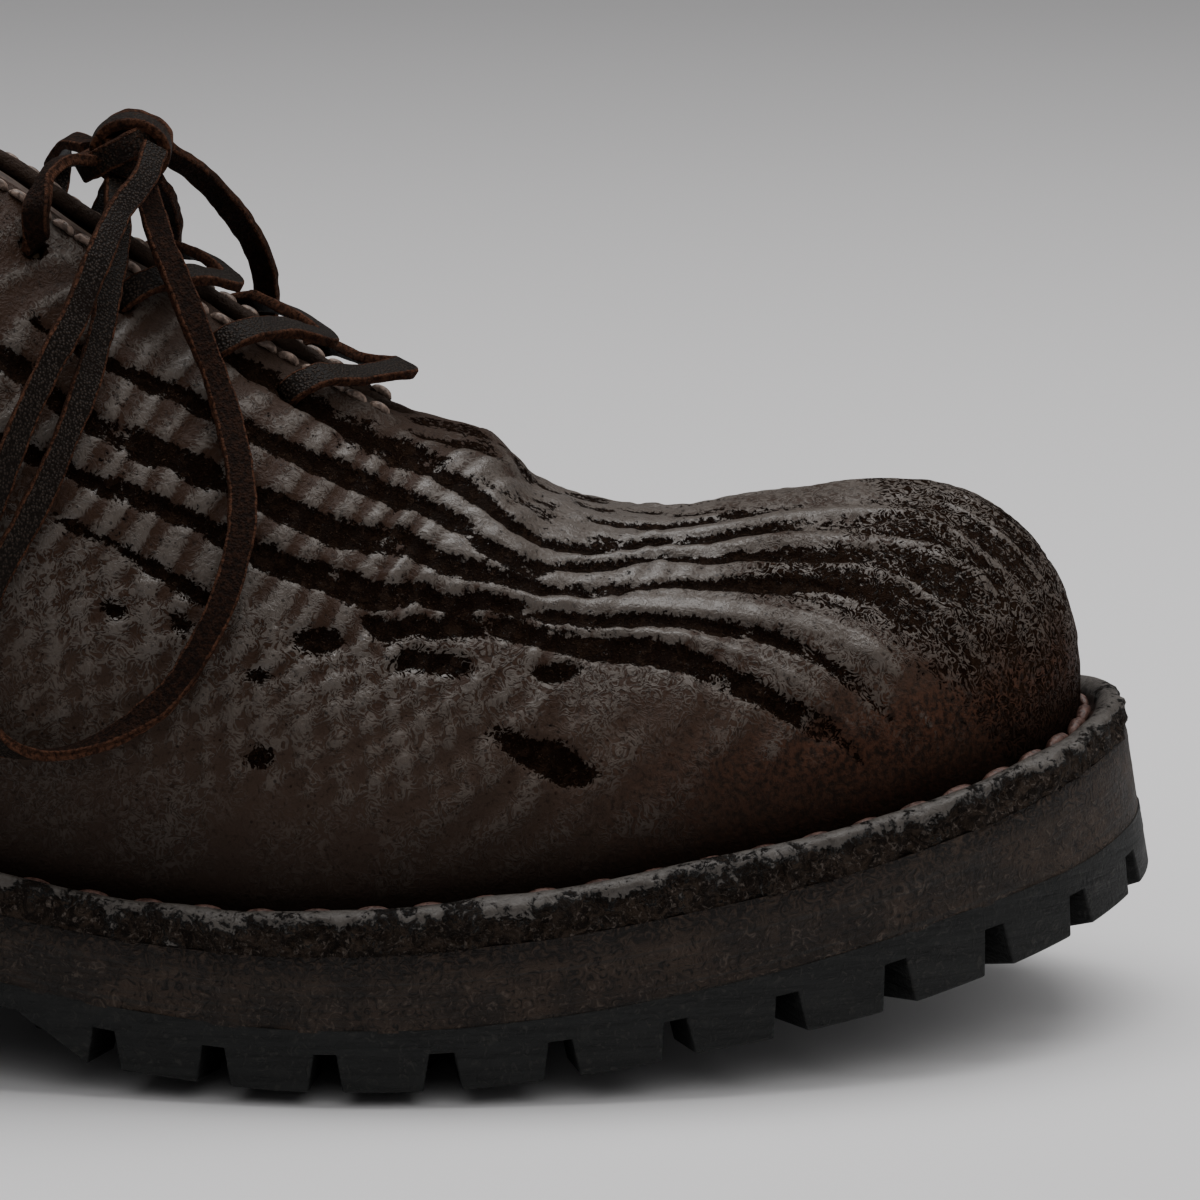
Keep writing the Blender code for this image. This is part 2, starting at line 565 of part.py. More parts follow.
def make_outsole():
    """A rubber plate with lugs: blocks round the forepart's edge and rows of blocks between them."""
    stations = sole_stations()
    base = plate(
        "outsole",
        stations,
        lambda side: sole_point(side, stations, 0.0, BASE_TOP),
        lambda side: sole_point(side, stations, 0.0, BASE_BOTTOM),
        RUBBER_DARK,
        0.7,
    )
    longs = {side: edge_lengths(side)[-1] for side in (LATERAL, MEDIAL)}
    first = s_at(LATERAL, LUG_START_X) * longs[LATERAL]
    last = s_at(MEDIAL, LUG_START_X) * longs[MEDIAL]
    whole = longs[LATERAL] - first + longs[MEDIAL] - last

    def side_of(along, inset, depth):
        """Points along the forepart's edge, counted from the lateral waist round the toe to the medial waist."""
        reach = first + along
        over = reach > longs[LATERAL]
        near = sole_point(LATERAL, np.where(over, 1.0, reach / longs[LATERAL]), inset, depth)
        back = (longs[LATERAL] + longs[MEDIAL] - reach) / longs[MEDIAL]
        far = sole_point(MEDIAL, np.where(over, back, 1.0), inset, depth)
        return np.where(over[:, None], far, near)

    points, faces = [], []
    notches = np.append(np.arange(0.0, whole - LUG_PITCH / 2.0, LUG_PITCH), whole)
    for start, stop in zip(notches[:-1], notches[1:]):
        lug = edge_lug(start + LUG_NOTCH / 2.0, stop - LUG_NOTCH / 2.0, side_of, 0.0)
        block(lug, faces, points)
    for start, stop in ((-LUG_NOTCH / 2.0, -WAIST_LUG), (whole + LUG_NOTCH / 2.0, whole + WAIST_LUG)):
        block(edge_lug(stop, start, side_of, LUG_BOTTOM - BASE_BOTTOM - 0.4), faces, points)
    for x in np.arange(CENTRE_FIRST_X, CENTRE_LAST_X, LUG_PITCH):
        inside = LUG_DEEP + CENTRE_GAP
        low = np.interp(x, EDGE_LINES[LATERAL][:, 0], EDGE_LINES[LATERAL][:, 1]) + inside
        high = np.interp(x, EDGE_LINES[MEDIAL][:, 0], EDGE_LINES[MEDIAL][:, 1]) - inside
        if high - low < CENTRE_GAP:
            continue
        blocks = max(1, round((high - low) / CENTRE_WIDE))
        wide = (high - low - CENTRE_GAP * (blocks - 1)) / blocks
        for k in range(blocks):
            y = low + k * (wide + CENTRE_GAP)
            corners = []
            for end in (-1.0, 1.0):
                top_x = x + end * CENTRE_LONG / 2.0
                low_x = top_x - end * LUG_TAPER
                top_z = float(layer_height(top_x, BASE_BOTTOM - LUG_SINK))
                low_z = 0.0 if FLAT_FROM_X < x < FLAT_TO_X else float(tread_height(low_x))
                corners.append(
                    (
                        (top_x, y, top_z),
                        (low_x, y + LUG_TAPER, low_z),
                        (low_x, y + wide - LUG_TAPER, low_z),
                        (top_x, y + wide, top_z),
                    )
                )
            block(np.array(corners, float), faces, points)
    boolean(base, solid("lugs", points, faces, RUBBER_DARK, 0.7), "UNION")


def heel_stations():
    return np.linspace(0.0, 1.0, 15) ** 1.15


def heel_plate(name, top, bottom, taper_top, taper_bottom, colour, roughness):
    """A heel layer: the sole's outline from its back to the breast, with heights given as functions of x."""
    shares = heel_stations()

    def edge(height, inset):
        def points(side):
            flat = edge_point(side, shares * s_at(side, HEEL_BREAST_X), inset * np.ones_like(shares))
            return np.stack([flat[:, 0], flat[:, 1], height(flat[:, 0])], axis=-1)
        return points

    return plate(name, shares, edge(top, taper_top), edge(bottom, taper_bottom), colour, roughness)


def make_heel():
    joint = HEEL_LIFT_HIGH + GAP
    heel_plate(
        "heel_stack",
        lambda x: layer_height(x, BASE_BOTTOM + GAP),
        lambda x: np.full_like(x, joint),
        0.4,
        HEEL_TAPER,
        LEATHER_EDGE,
        0.6,
    )
    lift = heel_plate(
        "heel_lift",
        lambda x: np.full_like(x, HEEL_LIFT_HIGH),
        np.zeros_like,
        HEEL_TAPER - 0.3,
        HEEL_TAPER + 0.5,
        RUBBER_DARK,
        0.7,
    )
    points, faces = [], []
    half = HEEL_NOTCH_WIDE / 2.0
    for side in (LATERAL, MEDIAL):
        for s in HEEL_NOTCH_S:
            outside = edge_point(side, np.array(s), np.array(-4.0))
            inside = edge_point(side, np.array(s), np.array(HEEL_NOTCH_DEEP))
            way = (inside - outside) / np.linalg.norm(inside - outside)
            across = np.array([-way[1], way[0]])
            corners = []
            for end in (outside, inside):
                low, high = end - across * half * 1.3, end + across * half * 1.3
                low_top, high_top = end - across * half, end + across * half
                corners.append(
                    (
                        (*low_top, HEEL_NOTCH_HIGH),
                        (*low, -2.0),
                        (*high, -2.0),
                        (*high_top, HEEL_NOTCH_HIGH),
                    )
                )
            block(np.array(corners), faces, points)
    boolean(lift, solid("heel_notches", points, faces, RUBBER_DARK, 0.7), "DIFFERENCE")


def make_plates():
    stations = sole_stations()
    plate(
        "midsole",
        stations,
        lambda side: sole_point(side, stations, 0.4, MIDSOLE_TOP),
        lambda side: sole_point(side, stations, 0.4, MIDSOLE_BOTTOM),
        LEATHER_EDGE,
        0.6,
    )
    inset = feather_inset(stations) + WALL + 2.0 * GAP
    plate(
        "insole",
        stations,
        lambda side: sole_point(side, stations, inset, MIDSOLE_TOP - GAP - INSOLE_HIGH),
        lambda side: sole_point(side, stations, inset, MIDSOLE_TOP - GAP),
        LEATHER_LINING,
        0.7,
    )


def through(points, count):
    """A smooth line through a few points, as count points equally far apart."""
    points = np.asarray(points, float)
    knots = np.concatenate([[0.0], np.cumsum(np.linalg.norm(np.diff(points, axis=0), axis=1))])
    turns = np.gradient(points, knots, axis=0)
    at = np.linspace(0.0, knots[-1], 400)
    k = np.clip(np.searchsorted(knots, at) - 1, 0, len(knots) - 2)
    step = (knots[k + 1] - knots[k])[:, None]
    share = (at[:, None] - knots[k][:, None]) / step
    line = (
        (2 * share**3 - 3 * share**2 + 1) * points[k]
        + (share**3 - 2 * share**2 + share) * step * turns[k]
        + (3 * share**2 - 2 * share**3) * points[k + 1]
        + (share**3 - share**2) * step * turns[k + 1]
    )
    long = np.concatenate([[0.0], np.cumsum(np.linalg.norm(np.diff(line, axis=0), axis=1))])
    even = np.linspace(0.0, long[-1], count)
    return np.stack([np.interp(even, long, line[:, axis]) for axis in range(3)], axis=-1)


def strip(name, points, faces_up, count):
    """A flat strip of lace along a line: its broad side faces the ways in faces_up, from end to end."""
    line = through(points, count)
    ahead = np.gradient(line, axis=0)
    ahead /= np.linalg.norm(ahead, axis=1, keepdims=True)
    shares = np.linspace(0.0, 1.0, len(faces_up))
    at = np.linspace(0.0, 1.0, count)
    up = np.stack([np.interp(at, shares, np.array(faces_up)[:, axis]) for axis in range(3)], -1)
    across = np.cross(ahead, up)
    across /= np.linalg.norm(across, axis=1, keepdims=True)
    up = np.cross(across, ahead)
    half_wide, half_thick = across * LACE_WIDE / 2.0, up * LACE_THICK / 2.0
    corners = np.stack(
        [
            line - half_wide + half_thick,
            line + half_wide + half_thick,
            line + half_wide - half_thick,
            line - half_wide - half_thick,
        ],
        axis=1,
    )
    points, faces = [], []
    block(corners, faces, points)
    solid(name, points, faces, LACE_DARK, 0.6)


def make_laces():
    """The bars between the facings, the strands to the knot, the knot, and the cords of the bow."""
    ahead = np.array((0.53, 0.0, 0.85))
    for number, (row, *front) in enumerate(BAR_ROWS, 1):
        ends, passes, outs = [], [], []
        for side in (LATERAL, MEDIAL):
            place, out = eyelet(side, row)
            over = EYELET_S[row] + BAR_PASS_S
            lift = section_normal(side, over, 0.99) * BAR_PASS_LIFT
            ends.append(place + out * LACE_LIFT)
            passes.append(section(side, over, 1.0) + lift)
            outs.append(out)
        route = (ends[0], passes[0], front, passes[1], ends[1])
        strip(f"lace_bar_{number}", route, (outs[0], ahead, ahead, ahead, outs[1]), 15)
    for name, side in (("lace_top_lateral", LATERAL), ("lace_top_medial", MEDIAL)):
        place, out = eyelet(side, len(EYELET_S) - 1)
        route = [place + out * LACE_LIFT]
        route += [(x, side * off, z) for x, off, z in TOP_ROWS]
        strip(name, route, (-side * np.array((0.0, 1.0, 0.0)), (-1.0, 0.0, 0.3), (0.0, 0.0, 1.0)), 9)
    turns = np.linspace(0.0, 2.0 * math.pi, KNOT_AROUND, endpoint=False)
    tilts = np.linspace(-math.pi / 2.0, math.pi / 2.0, KNOT_UP)
    ball = np.stack(
        [
            np.outer(np.cos(tilts), np.cos(turns)),
            np.outer(np.cos(tilts), np.sin(turns)),
            np.outer(np.sin(tilts), np.ones_like(turns)),
        ],
        axis=-1,
    )
    places = ball.reshape(-1, 3) * KNOT_RADII + KNOT_PLACE
    solid("lace_knot", places, ring_faces(KNOT_UP, KNOT_AROUND), LACE_DARK, 0.6)
    for name, rows in BOW_ROWS.items():
        long = np.linalg.norm(np.diff(np.array(rows), axis=0), axis=1).sum()
        cord(name, through(rows, math.ceil(long / CORD_STEP) + 1))


def cord(name, line):
    curve = bpy.data.curves.new(name, "CURVE")
    curve.dimensions = "3D"
    curve.bevel_depth = LACE_WIDE / 2.0 * MM
    curve.bevel_resolution = 2
    curve.use_fill_caps = True
    run = curve.splines.new("POLY")
    run.points.add(len(line) - 1)
    for point, place in zip(run.points, (line - ORIGIN) * MM):
        point.co = (*place, 1.0)
    made = bpy.data.objects.new(name, curve)
    bpy.context.scene.collection.objects.link(made)
    painted(made, LACE_DARK, 0.6)


def clear_scene():
    for old in list(bpy.data.objects):
        bpy.data.objects.remove(old, do_unlink=True)


ORIGIN = np.array((152.78, -0.63, 0.0))
clear_scene()
make_upper()
make_tongue()
make_welt()
make_plates()
make_outsole()
make_heel()
make_laces()
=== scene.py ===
# %% [markdown]
# # A plain toe derby
# This lesson dresses a shoe whose plain solids were made in a CAD step. The solids come in as a fixed
# frame, and each one is then replaced by a finer surface of the same form: furrowed leather on the
# last, a napped welt, a cut midsole, rubber lugs and flat leather laces. Every surface is a numpy
# function on a grid, so the whole shoe is a set of short formulas and tables.

import math

import bmesh
import bpy
import numpy as np
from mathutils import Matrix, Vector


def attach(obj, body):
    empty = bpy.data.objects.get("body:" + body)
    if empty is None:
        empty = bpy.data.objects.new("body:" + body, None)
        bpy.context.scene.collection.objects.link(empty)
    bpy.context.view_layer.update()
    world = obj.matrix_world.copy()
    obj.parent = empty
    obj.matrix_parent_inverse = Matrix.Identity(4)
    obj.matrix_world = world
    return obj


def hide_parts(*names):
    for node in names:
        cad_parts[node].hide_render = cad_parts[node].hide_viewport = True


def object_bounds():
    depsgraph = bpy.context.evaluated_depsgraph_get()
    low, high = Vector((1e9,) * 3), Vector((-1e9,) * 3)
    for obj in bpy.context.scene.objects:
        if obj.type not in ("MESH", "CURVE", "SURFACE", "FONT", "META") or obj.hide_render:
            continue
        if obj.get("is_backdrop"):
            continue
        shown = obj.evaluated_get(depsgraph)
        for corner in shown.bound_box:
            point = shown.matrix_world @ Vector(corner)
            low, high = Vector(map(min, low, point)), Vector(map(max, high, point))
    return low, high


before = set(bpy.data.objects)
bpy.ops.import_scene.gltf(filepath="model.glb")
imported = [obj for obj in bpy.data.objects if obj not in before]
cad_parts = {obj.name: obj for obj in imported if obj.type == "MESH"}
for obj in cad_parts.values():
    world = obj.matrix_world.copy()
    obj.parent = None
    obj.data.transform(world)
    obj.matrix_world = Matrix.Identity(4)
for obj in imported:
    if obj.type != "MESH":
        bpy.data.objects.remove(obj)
CAD_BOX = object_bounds()
print("solids in the frame:", ", ".join(sorted(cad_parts)))

# %% [markdown]
# ## The shoe's own sizes
# A shoemaker works from a last and a sole pattern. The tables below are those patterns in millimetres,
# with x counted from the back of the heel and the outer side at negative y. They are the same patterns
# that the solids were cut from, so each finer surface lands on its solid without any fitting.

# %% Patterns of the sole
MM = 0.001
ORIGIN = np.array((152.78, -0.63, 0.0))
LATERAL, MEDIAL = -1.0, 1.0
SIDES = (LATERAL, MEDIAL)
GAP = 0.3
WELT_HIGH, MIDSOLE_HIGH, BASE_HIGH = 5.7, 9.0, 3.4
MIDSOLE_TOP = WELT_HIGH
MIDSOLE_BOTTOM = MIDSOLE_TOP + MIDSOLE_HIGH
BASE_TOP = MIDSOLE_BOTTOM + GAP
BASE_BOTTOM = BASE_TOP + BASE_HIGH
LUG_BOTTOM = 23.9
TOE_LEAN = 0.6
TOE_TIP, HEEL_BACK = (301.0, 7.0), (0.0, 0.0)
EDGE_ROWS = {
    # x, y of the sole's edge
    LATERAL: ((5.0, -17.5), (20.0, -30.5), (42.0, -36.0), (78.0, -37.0), (112.0, -38.0),
              (145.0, -44.5), (186.0, -52.0), (216.0, -51.0), (247.0, -45.0), (272.0, -35.0),
              (289.0, -22.0), (298.5, -7.0)),
    MEDIAL: ((5.0, 17.0), (20.0, 29.5), (42.0, 35.0), (78.0, 33.0), (112.0, 31.0), (145.0, 35.0),
             (188.0, 45.5), (222.0, 51.0), (250.0, 49.0), (274.0, 42.0), (290.0, 31.0),
             (298.5, 19.0)),
}
LIP_ROWS = (
    # x, height of the welt's lip
    (0.0, 47.0), (40.0, 47.0), (75.0, 45.0), (100.0, 40.5), (120.0, 36.0), (142.0, 31.3),
    (165.0, 27.6), (185.0, 26.2), (200.0, 26.3), (215.0, 27.4), (240.0, 31.0), (260.0, 35.0),
    (275.0, 39.0), (286.0, 42.4), (297.0, 46.2), (308.0, 50.2),
)
# How the layers part from even thickness: the welt swells at the ball, the midsole grows toward the toe
SWELL_ROWS = (
    # x, how much higher the lip is, how much lower the rubber is
    (0.0, 0.0, 0.0), (150.0, 0.0, 0.0), (170.0, 0.6, 0.0), (190.0, 1.7, 0.0), (212.0, 2.7, 0.0),
    (239.0, 2.7, 0.0), (260.0, 1.8, 0.0), (274.0, 1.0, 0.3), (286.0, 0.2, 1.4), (296.0, -0.6, 2.6),
    (308.0, -1.2, 3.0),
)
SWELL_DEPTHS, SWELL_SHARES = (0.0, MIDSOLE_TOP, MIDSOLE_BOTTOM), (1.0, 0.55, 0.0)
SINK_DEPTHS, SINK_SHARES = (MIDSOLE_TOP, MIDSOLE_BOTTOM, BASE_BOTTOM, LUG_BOTTOM), (0.0, 1.0, 1.0, 0.3)
INSET_ROWS = (
    # s along a side, how far the upper's lower edge is set in
    (0.00, 4.8), (0.25, 4.8), (0.42, 5.4), (0.55, 7.6), (0.70, 8.4), (0.88, 8.2), (1.00, 7.6),
)
CURVE_SHARES = np.linspace(0.0, 1.0, 24, endpoint=False)


def smooth(rows, column, at, level_ends=False):
    """A column's value where the first column is at: cubic pieces whose slopes are harmonic means."""
    xs = np.array([row[0] for row in rows])
    ys = np.array([row[column] for row in rows])
    steps = np.diff(xs)
    rises = np.diff(ys) / steps
    slopes = np.zeros(len(xs))
    if not level_ends:
        slopes[0], slopes[-1] = rises[0], rises[-1]
    before, after = rises[:-1], rises[1:]
    first, second = 2 * steps[1:] + steps[:-1], steps[1:] + 2 * steps[:-1]
    same = before * after > 0
    weighed = first / np.where(same, before, 1.0) + second / np.where(same, after, 1.0)
    slopes[1:-1] = np.where(same, (first + second) / weighed, 0.0)
    at = np.asarray(at, float)
    k = np.clip(np.searchsorted(xs, at) - 1, 0, len(steps) - 1)
    t = np.clip((at - xs[k]) / steps[k], 0.0, 1.0)
    return (
        (2 * t**3 - 3 * t**2 + 1) * ys[k]
        + (t**3 - 2 * t**2 + t) * steps[k] * slopes[k]
        + (3 * t**2 - 2 * t**3) * ys[k + 1]
        + (t**3 - t**2) * steps[k] * slopes[k + 1]
    )


def spline(points, turns, knots, share):
    """Cubic pieces through points that leave each point along its turn, at shares of each piece."""
    share = share[None, :, None]
    step = np.diff(knots)[:, None, None]
    line = (
        (2 * share**3 - 3 * share**2 + 1) * points[:-1, None]
        + (share**3 - 2 * share**2 + share) * step * turns[:-1, None]
        + (3 * share**2 - 2 * share**3) * points[1:, None]
        + (share**3 - share**2) * step * turns[1:, None]
    )
    return np.vstack([line.reshape(-1, points.shape[1]), points[-1:]])


def lengths(line):
    """Distance along a line of points, starting at zero."""
    return np.concatenate([[0.0], np.cumsum(np.linalg.norm(np.diff(line, axis=0), axis=1))])


def edge_line(side):
    """A fine line along one side of the sole's edge, square to the shoe's length at heel and toe."""
    points = np.array((HEEL_BACK, *EDGE_ROWS[side], TOE_TIP))
    knots = lengths(points)
    turns = np.empty_like(points)
    turns[1:-1] = (points[2:] - points[:-2]) / (knots[2:] - knots[:-2])[:, None]
    turns[0], turns[-1] = (0.0, side), (0.0, -side)
    return spline(points, turns, knots, CURVE_SHARES)


EDGE_LINES = {side: edge_line(side) for side in SIDES}
EDGE_LONG = {side: lengths(EDGE_LINES[side])[-1] for side in SIDES}
print("edge of the sole, outer and inner side:", [round(EDGE_LONG[side]) for side in SIDES], "mm")

# %% Places on the sole


def unit(vectors):
    """Vectors divided by their lengths."""
    return vectors / np.linalg.norm(vectors, axis=-1, keepdims=True)


def edge_point(side, s, inset):
    """Points at shares s of a side's length, set in square to the edge of the sole, as x and y."""
    line = EDGE_LINES[side]
    long = lengths(line)
    ahead = np.gradient(line, long, axis=0)
    ahead[0], ahead[-1] = (0.0, side), (0.0, -side)
    at = np.asarray(s, float) * long[-1]
    point = np.stack([np.interp(at, long, line[:, k]) for k in (0, 1)], axis=-1)
    along = unit(np.stack([np.interp(at, long, ahead[:, k]) for k in (0, 1)], axis=-1))
    outward = np.stack([-along[..., 1], along[..., 0]], axis=-1) * side
    return point - outward * np.asarray(inset, float)[..., None]


def s_at(side, x):
    """The share of a side's length at which its edge passes x."""
    line = EDGE_LINES[side]
    return np.interp(x, line[:, 0], lengths(line)) / EDGE_LONG[side]


def lip_height(x):
    """Height of the welt's lip at x, read from its table."""
    return smooth(LIP_ROWS, 1, x)


def lip_slope(x):
    """How much the lip rises for each millimetre of x."""
    return (lip_height(x + 1.0) - lip_height(x - 1.0)) / 2.0


def layer_height(x, depth):
    """Height of a layer that lies depth under the lip, measured square to the sole, with swell and sink."""
    swell = smooth(SWELL_ROWS, 1, x) * np.interp(depth, SWELL_DEPTHS, SWELL_SHARES)
    sink = smooth(SWELL_ROWS, 2, x) * np.interp(depth, SINK_DEPTHS, SINK_SHARES)
    return lip_height(x) - depth * np.sqrt(1.0 + lip_slope(x) ** 2) + swell - sink


def sole_point(side, s, inset, depth):
    """Points of the sole, depth below the lip, leaning forward with the depth where the toe springs up."""
    flat = edge_point(side, s, inset)
    slope = np.clip(lip_slope(flat[..., 0]), 0.0, None)
    x = flat[..., 0] + TOE_LEAN * depth * slope / np.sqrt(1.0 + slope**2)
    return np.stack([x, flat[..., 1], layer_height(x, depth)], axis=-1)


def feather_inset(s):
    """How far in from the sole's edge the upper's lower edge lies at s."""
    return smooth(INSET_ROWS, 1, s, level_ends=True)


print("toe springs to", round(float(layer_height(300.0, BASE_BOTTOM)), 1), "mm under the rubber")

# %% [markdown]
# ## The last
# The upper takes the shape of a wooden last. Each section of the last is one cubic curve from the lower
# edge of the leather to the top, with its own lean at both ends; the table gives one row for each section
# from the heel (s = 0) to the toe (s = 1). A second number, rise, runs from 0 at the welt to 1 at the top,
# so any mark on the leather has an address of (s, rise).

# %% Sections of the last
LAST_ROWS = (
    # s, top_x, top_half, top_z, top_lean, top_reach, side_lean, side_reach
    (0.000, 9.0, 0.0, 110.0, 14.0, 26.0, 16.0, 25.0),
    (0.080, 13.0, 16.0, 108.5, 12.0, 24.0, 15.0, 23.0),
    (0.150, 28.0, 25.0, 104.0, 9.0, 21.0, 13.0, 20.0),
    (0.265, 68.0, 29.0, 98.0, 10.0, 20.0, 10.0, 18.0),
    (0.340, 98.0, 24.5, 105.5, 22.0, 26.0, 10.0, 22.0),
    (0.398, 121.0, 16.0, 121.0, 40.0, 34.0, 10.0, 28.0),
    (0.420, 128.0, 12.6, 126.6, 47.0, 33.0, 11.0, 28.0),
    (0.440, 134.0, 10.8, 126.6, 51.0, 32.0, 12.0, 28.0),
    (0.500, 155.0, 9.0, 114.6, 58.0, 29.0, 15.0, 27.0),
    (0.570, 178.0, 6.5, 100.4, 66.0, 28.0, 19.0, 25.0),
    (0.618, 195.0, 4.4, 90.2, 76.0, 27.0, 21.0, 23.0),
    (0.636, 200.0, 0.0, 87.6, 90.0, 26.0, 21.0, 23.0),
    (0.662, 208.3, 0.0, 86.0, 90.0, 25.0, 21.0, 23.0),
    (0.676, 212.6, 0.0, 83.0, 90.0, 26.0, 21.0, 23.0),
    (0.690, 216.6, 0.0, 78.2, 90.0, 27.0, 20.0, 24.0),
    (0.722, 225.6, 0.0, 74.4, 90.0, 29.0, 18.0, 25.0),
    (0.760, 234.0, 0.0, 73.4, 90.0, 29.0, 17.0, 24.0),
    (0.820, 246.0, 0.0, 75.1, 90.0, 28.0, 15.0, 23.0),
    (0.900, 259.0, 0.0, 77.4, 90.0, 25.0, 12.0, 21.5),
    (1.000, 266.0, 0.0, 78.2, 90.0, 23.5, 11.0, 20.0),
)
MIDDLE_ROWS = (
    # x, y of the middle line of the top
    (0.0, 0.0), (60.0, 0.0), (200.0, 0.0), (235.0, 2.0), (266.0, 5.0), (300.0, 7.0),
)
FACING_TOP_S, THROAT_S = 0.430, 0.636
WALL = 2.4
FINE_SHARES = np.linspace(0.0, 1.0, 201)


def section(side, s, rise):
    """Points of the upper's outside: each section is a cubic Bezier curve from feather edge to top."""
    s, rise = np.broadcast_arrays(np.asarray(s, float), np.asarray(rise, float))
    top_x, top_half, top_z, top_lean, top_reach, side_lean, side_reach = (
        smooth(LAST_ROWS, column, s, level_ends=True) for column in range(1, 8)
    )
    low = sole_point(side, s, feather_inset(s), MIDSOLE_TOP - GAP)
    middle = smooth(MIDDLE_ROWS, 1, top_x)
    top = np.stack([top_x, middle + side * top_half, top_z], axis=-1)
    outward = unit(low[..., :2] - np.stack([top_x, middle], axis=-1))
    top_lean, side_lean = np.radians(top_lean), np.radians(side_lean)
    low_way = np.concatenate(
        [outward * np.sin(side_lean)[..., None], np.cos(side_lean)[..., None]], axis=-1
    )
    top_way = np.concatenate(
        [outward * np.sin(top_lean)[..., None], -np.cos(top_lean)[..., None]], axis=-1
    )
    low_pull = low + low_way * side_reach[..., None]
    top_pull = top + top_way * top_reach[..., None]
    t = rise[..., None]
    return (
        (1 - t) ** 3 * low
        + 3 * (1 - t) ** 2 * t * low_pull
        + 3 * (1 - t) * t**2 * top_pull
        + t**3 * top
    )


def section_normal(side, s, rise):
    """Unit vectors out of the leather: the cross product of the ways up and along the last."""
    small = 1e-3
    s, rise = np.broadcast_arrays(np.asarray(s, float), np.asarray(rise, float))
    ahead = section(side, np.minimum(s + small, 1.0), rise) - section(side, s - small, rise)
    up = section(side, s, np.minimum(rise + small, 1.0)) - section(side, s, rise - small)
    return unit(np.cross(up, ahead) * side)


def rise_back(side, s, distance):
    """The share of the way up section s that lies distance below its top, along the leather."""
    long = lengths(section(side, s, FINE_SHARES))
    return float(np.interp(long[-1] - distance, long, FINE_SHARES))


print("toe cap's top at", np.round(section(LATERAL, 1.0, 1.0), 1), "mm")

# %% [markdown]
# ## From arrays to meshes
# Each piece is an array of points and an array of quads. One helper turns them into an object, sets its
# per-point values (such as how deep in a furrow a point lies) as attributes that a material can read, and
# makes the piece ride on the shoe's only body.

# %% Mesh helpers
NEAR_POINTS, NO_LENGTH = 0.001, 1e-7
LATTICE_PRIMES, SEED_PRIME, STIR_PRIME = np.array((374761393, 668265263, 2147483647)), 974711, 1274126177
LUMPS = {
    # size of each noise in mm, and its seed
    "tears": (3.6, 1), "frays": (1.4, 2), "flow": (14.0, 3), "ribs": (15.0, 4), "crumple": (5.0, 5),
    "nap": (2.2, 6), "swell": (9.0, 7), "clouds": (6.0, 8), "pleats": (9.0, 9), "weave": (11.0, 10),
    "islands": (3.0, 15), "low ribs": (12.0, 16), "rim": (2.6, 17), "folds": (2.4, 18),
    "bristles": (1.3, 11), "tufts": (3.2, 12), "dents": (7.0, 13), "cut waves": (6.0, 21),
    "cut nicks": (2.2, 22), "saw marks": (4.0, 31), "torn lug": (1.9, 33), "lace wear": (1.6, 41),
    "lace swell": (5.0, 42),
}


def grid_faces(rows, columns, start=0, wrap=False, flip=False, closed=False):
    """Quads between the points of a grid; wrap joins the last column to the first, closed the last row."""
    number = np.arange(rows * columns).reshape(rows, columns) + start
    if closed:
        number = np.concatenate([number, number[:1]])
    if wrap:
        number = np.concatenate([number, number[:, :1]], axis=1)
    corners = (number[:-1, :-1], number[1:, :-1], number[1:, 1:], number[:-1, 1:])
    quads = np.stack(corners, axis=-1).reshape(-1, 4)
    return quads[:, ::-1] if flip else quads


def make_piece(name, points, faces, material, node=None, values=None, weld=0.0, tidy=False):
    """An object that rides on root, from points in mm: welds near points, and where tidy turns faces out."""
    mesh = bpy.data.meshes.new(name)
    mesh.from_pydata(((points - ORIGIN) * MM).tolist(), [], [list(face) for face in faces])
    for key, numbers in (values or {}).items():
        layer = mesh.attributes.new(key, "FLOAT", "POINT")
        layer.data.foreach_set("value", np.asarray(numbers, np.float32).ravel())
    if weld or tidy:
        work = bmesh.new()
        work.from_mesh(mesh)
        bmesh.ops.remove_doubles(work, verts=work.verts, dist=max(weld, NEAR_POINTS) * MM)
        bmesh.ops.dissolve_degenerate(work, edges=work.edges, dist=NO_LENGTH)
        if tidy:
            bmesh.ops.recalc_face_normals(work, faces=work.faces)
        work.to_mesh(mesh)
        work.free()
    mesh.polygons.foreach_set("use_smooth", np.ones(len(mesh.polygons), bool))
    mesh.materials.append(material)
    made = bpy.data.objects.new(name, mesh)
    bpy.context.scene.collection.objects.link(made)
    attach(made, "root")
    if node:
        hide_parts(*([node] if isinstance(node, str) else node))
    print(name, "has", len(mesh.polygons), "faces")
    return made


def crease_edges(made, degrees):
    """Keeps edges sharper than an angle crisp in a smoothly shaded piece."""
    made.data.set_sharp_from_angle(angle=math.radians(degrees))


def step(low, high, value):
    """A soft step from 0 at low to 1 at high."""
    t = np.clip((value - low) / (high - low), 0.0, 1.0)
    return t * t * (3.0 - 2.0 * t)


def mottle(points, size, seed):
    """Smooth noise from -1 to 1 with lumps of a size: random lattice values, blended by soft steps."""
    place = points / size
    cell = np.floor(place).astype(np.int64)
    share = place - cell
    share = share * share * (3.0 - 2.0 * share)
    total = np.zeros(points.shape[:-1])
    for corner in range(8):
        bits = np.array([corner & 1, corner >> 1 & 1, corner >> 2 & 1])
        key = (cell + bits) @ LATTICE_PRIMES + seed * SEED_PRIME
        key = (key ^ (key >> 13)) * STIR_PRIME & 0xFFFFFFFF
        value = ((key ^ (key >> 16)) & 0xFFFF) / 32767.5 - 1.0
        total += value * np.prod(np.where(bits, share, 1.0 - share), axis=-1)
    return total


def lump(name, points):
    """The noise of a name in the table, at points."""
    return mottle(points, *LUMPS[name])


print(len(LUMPS), "noises, from", min(LUMPS.values())[0], "to", max(LUMPS.values())[0], "mm")

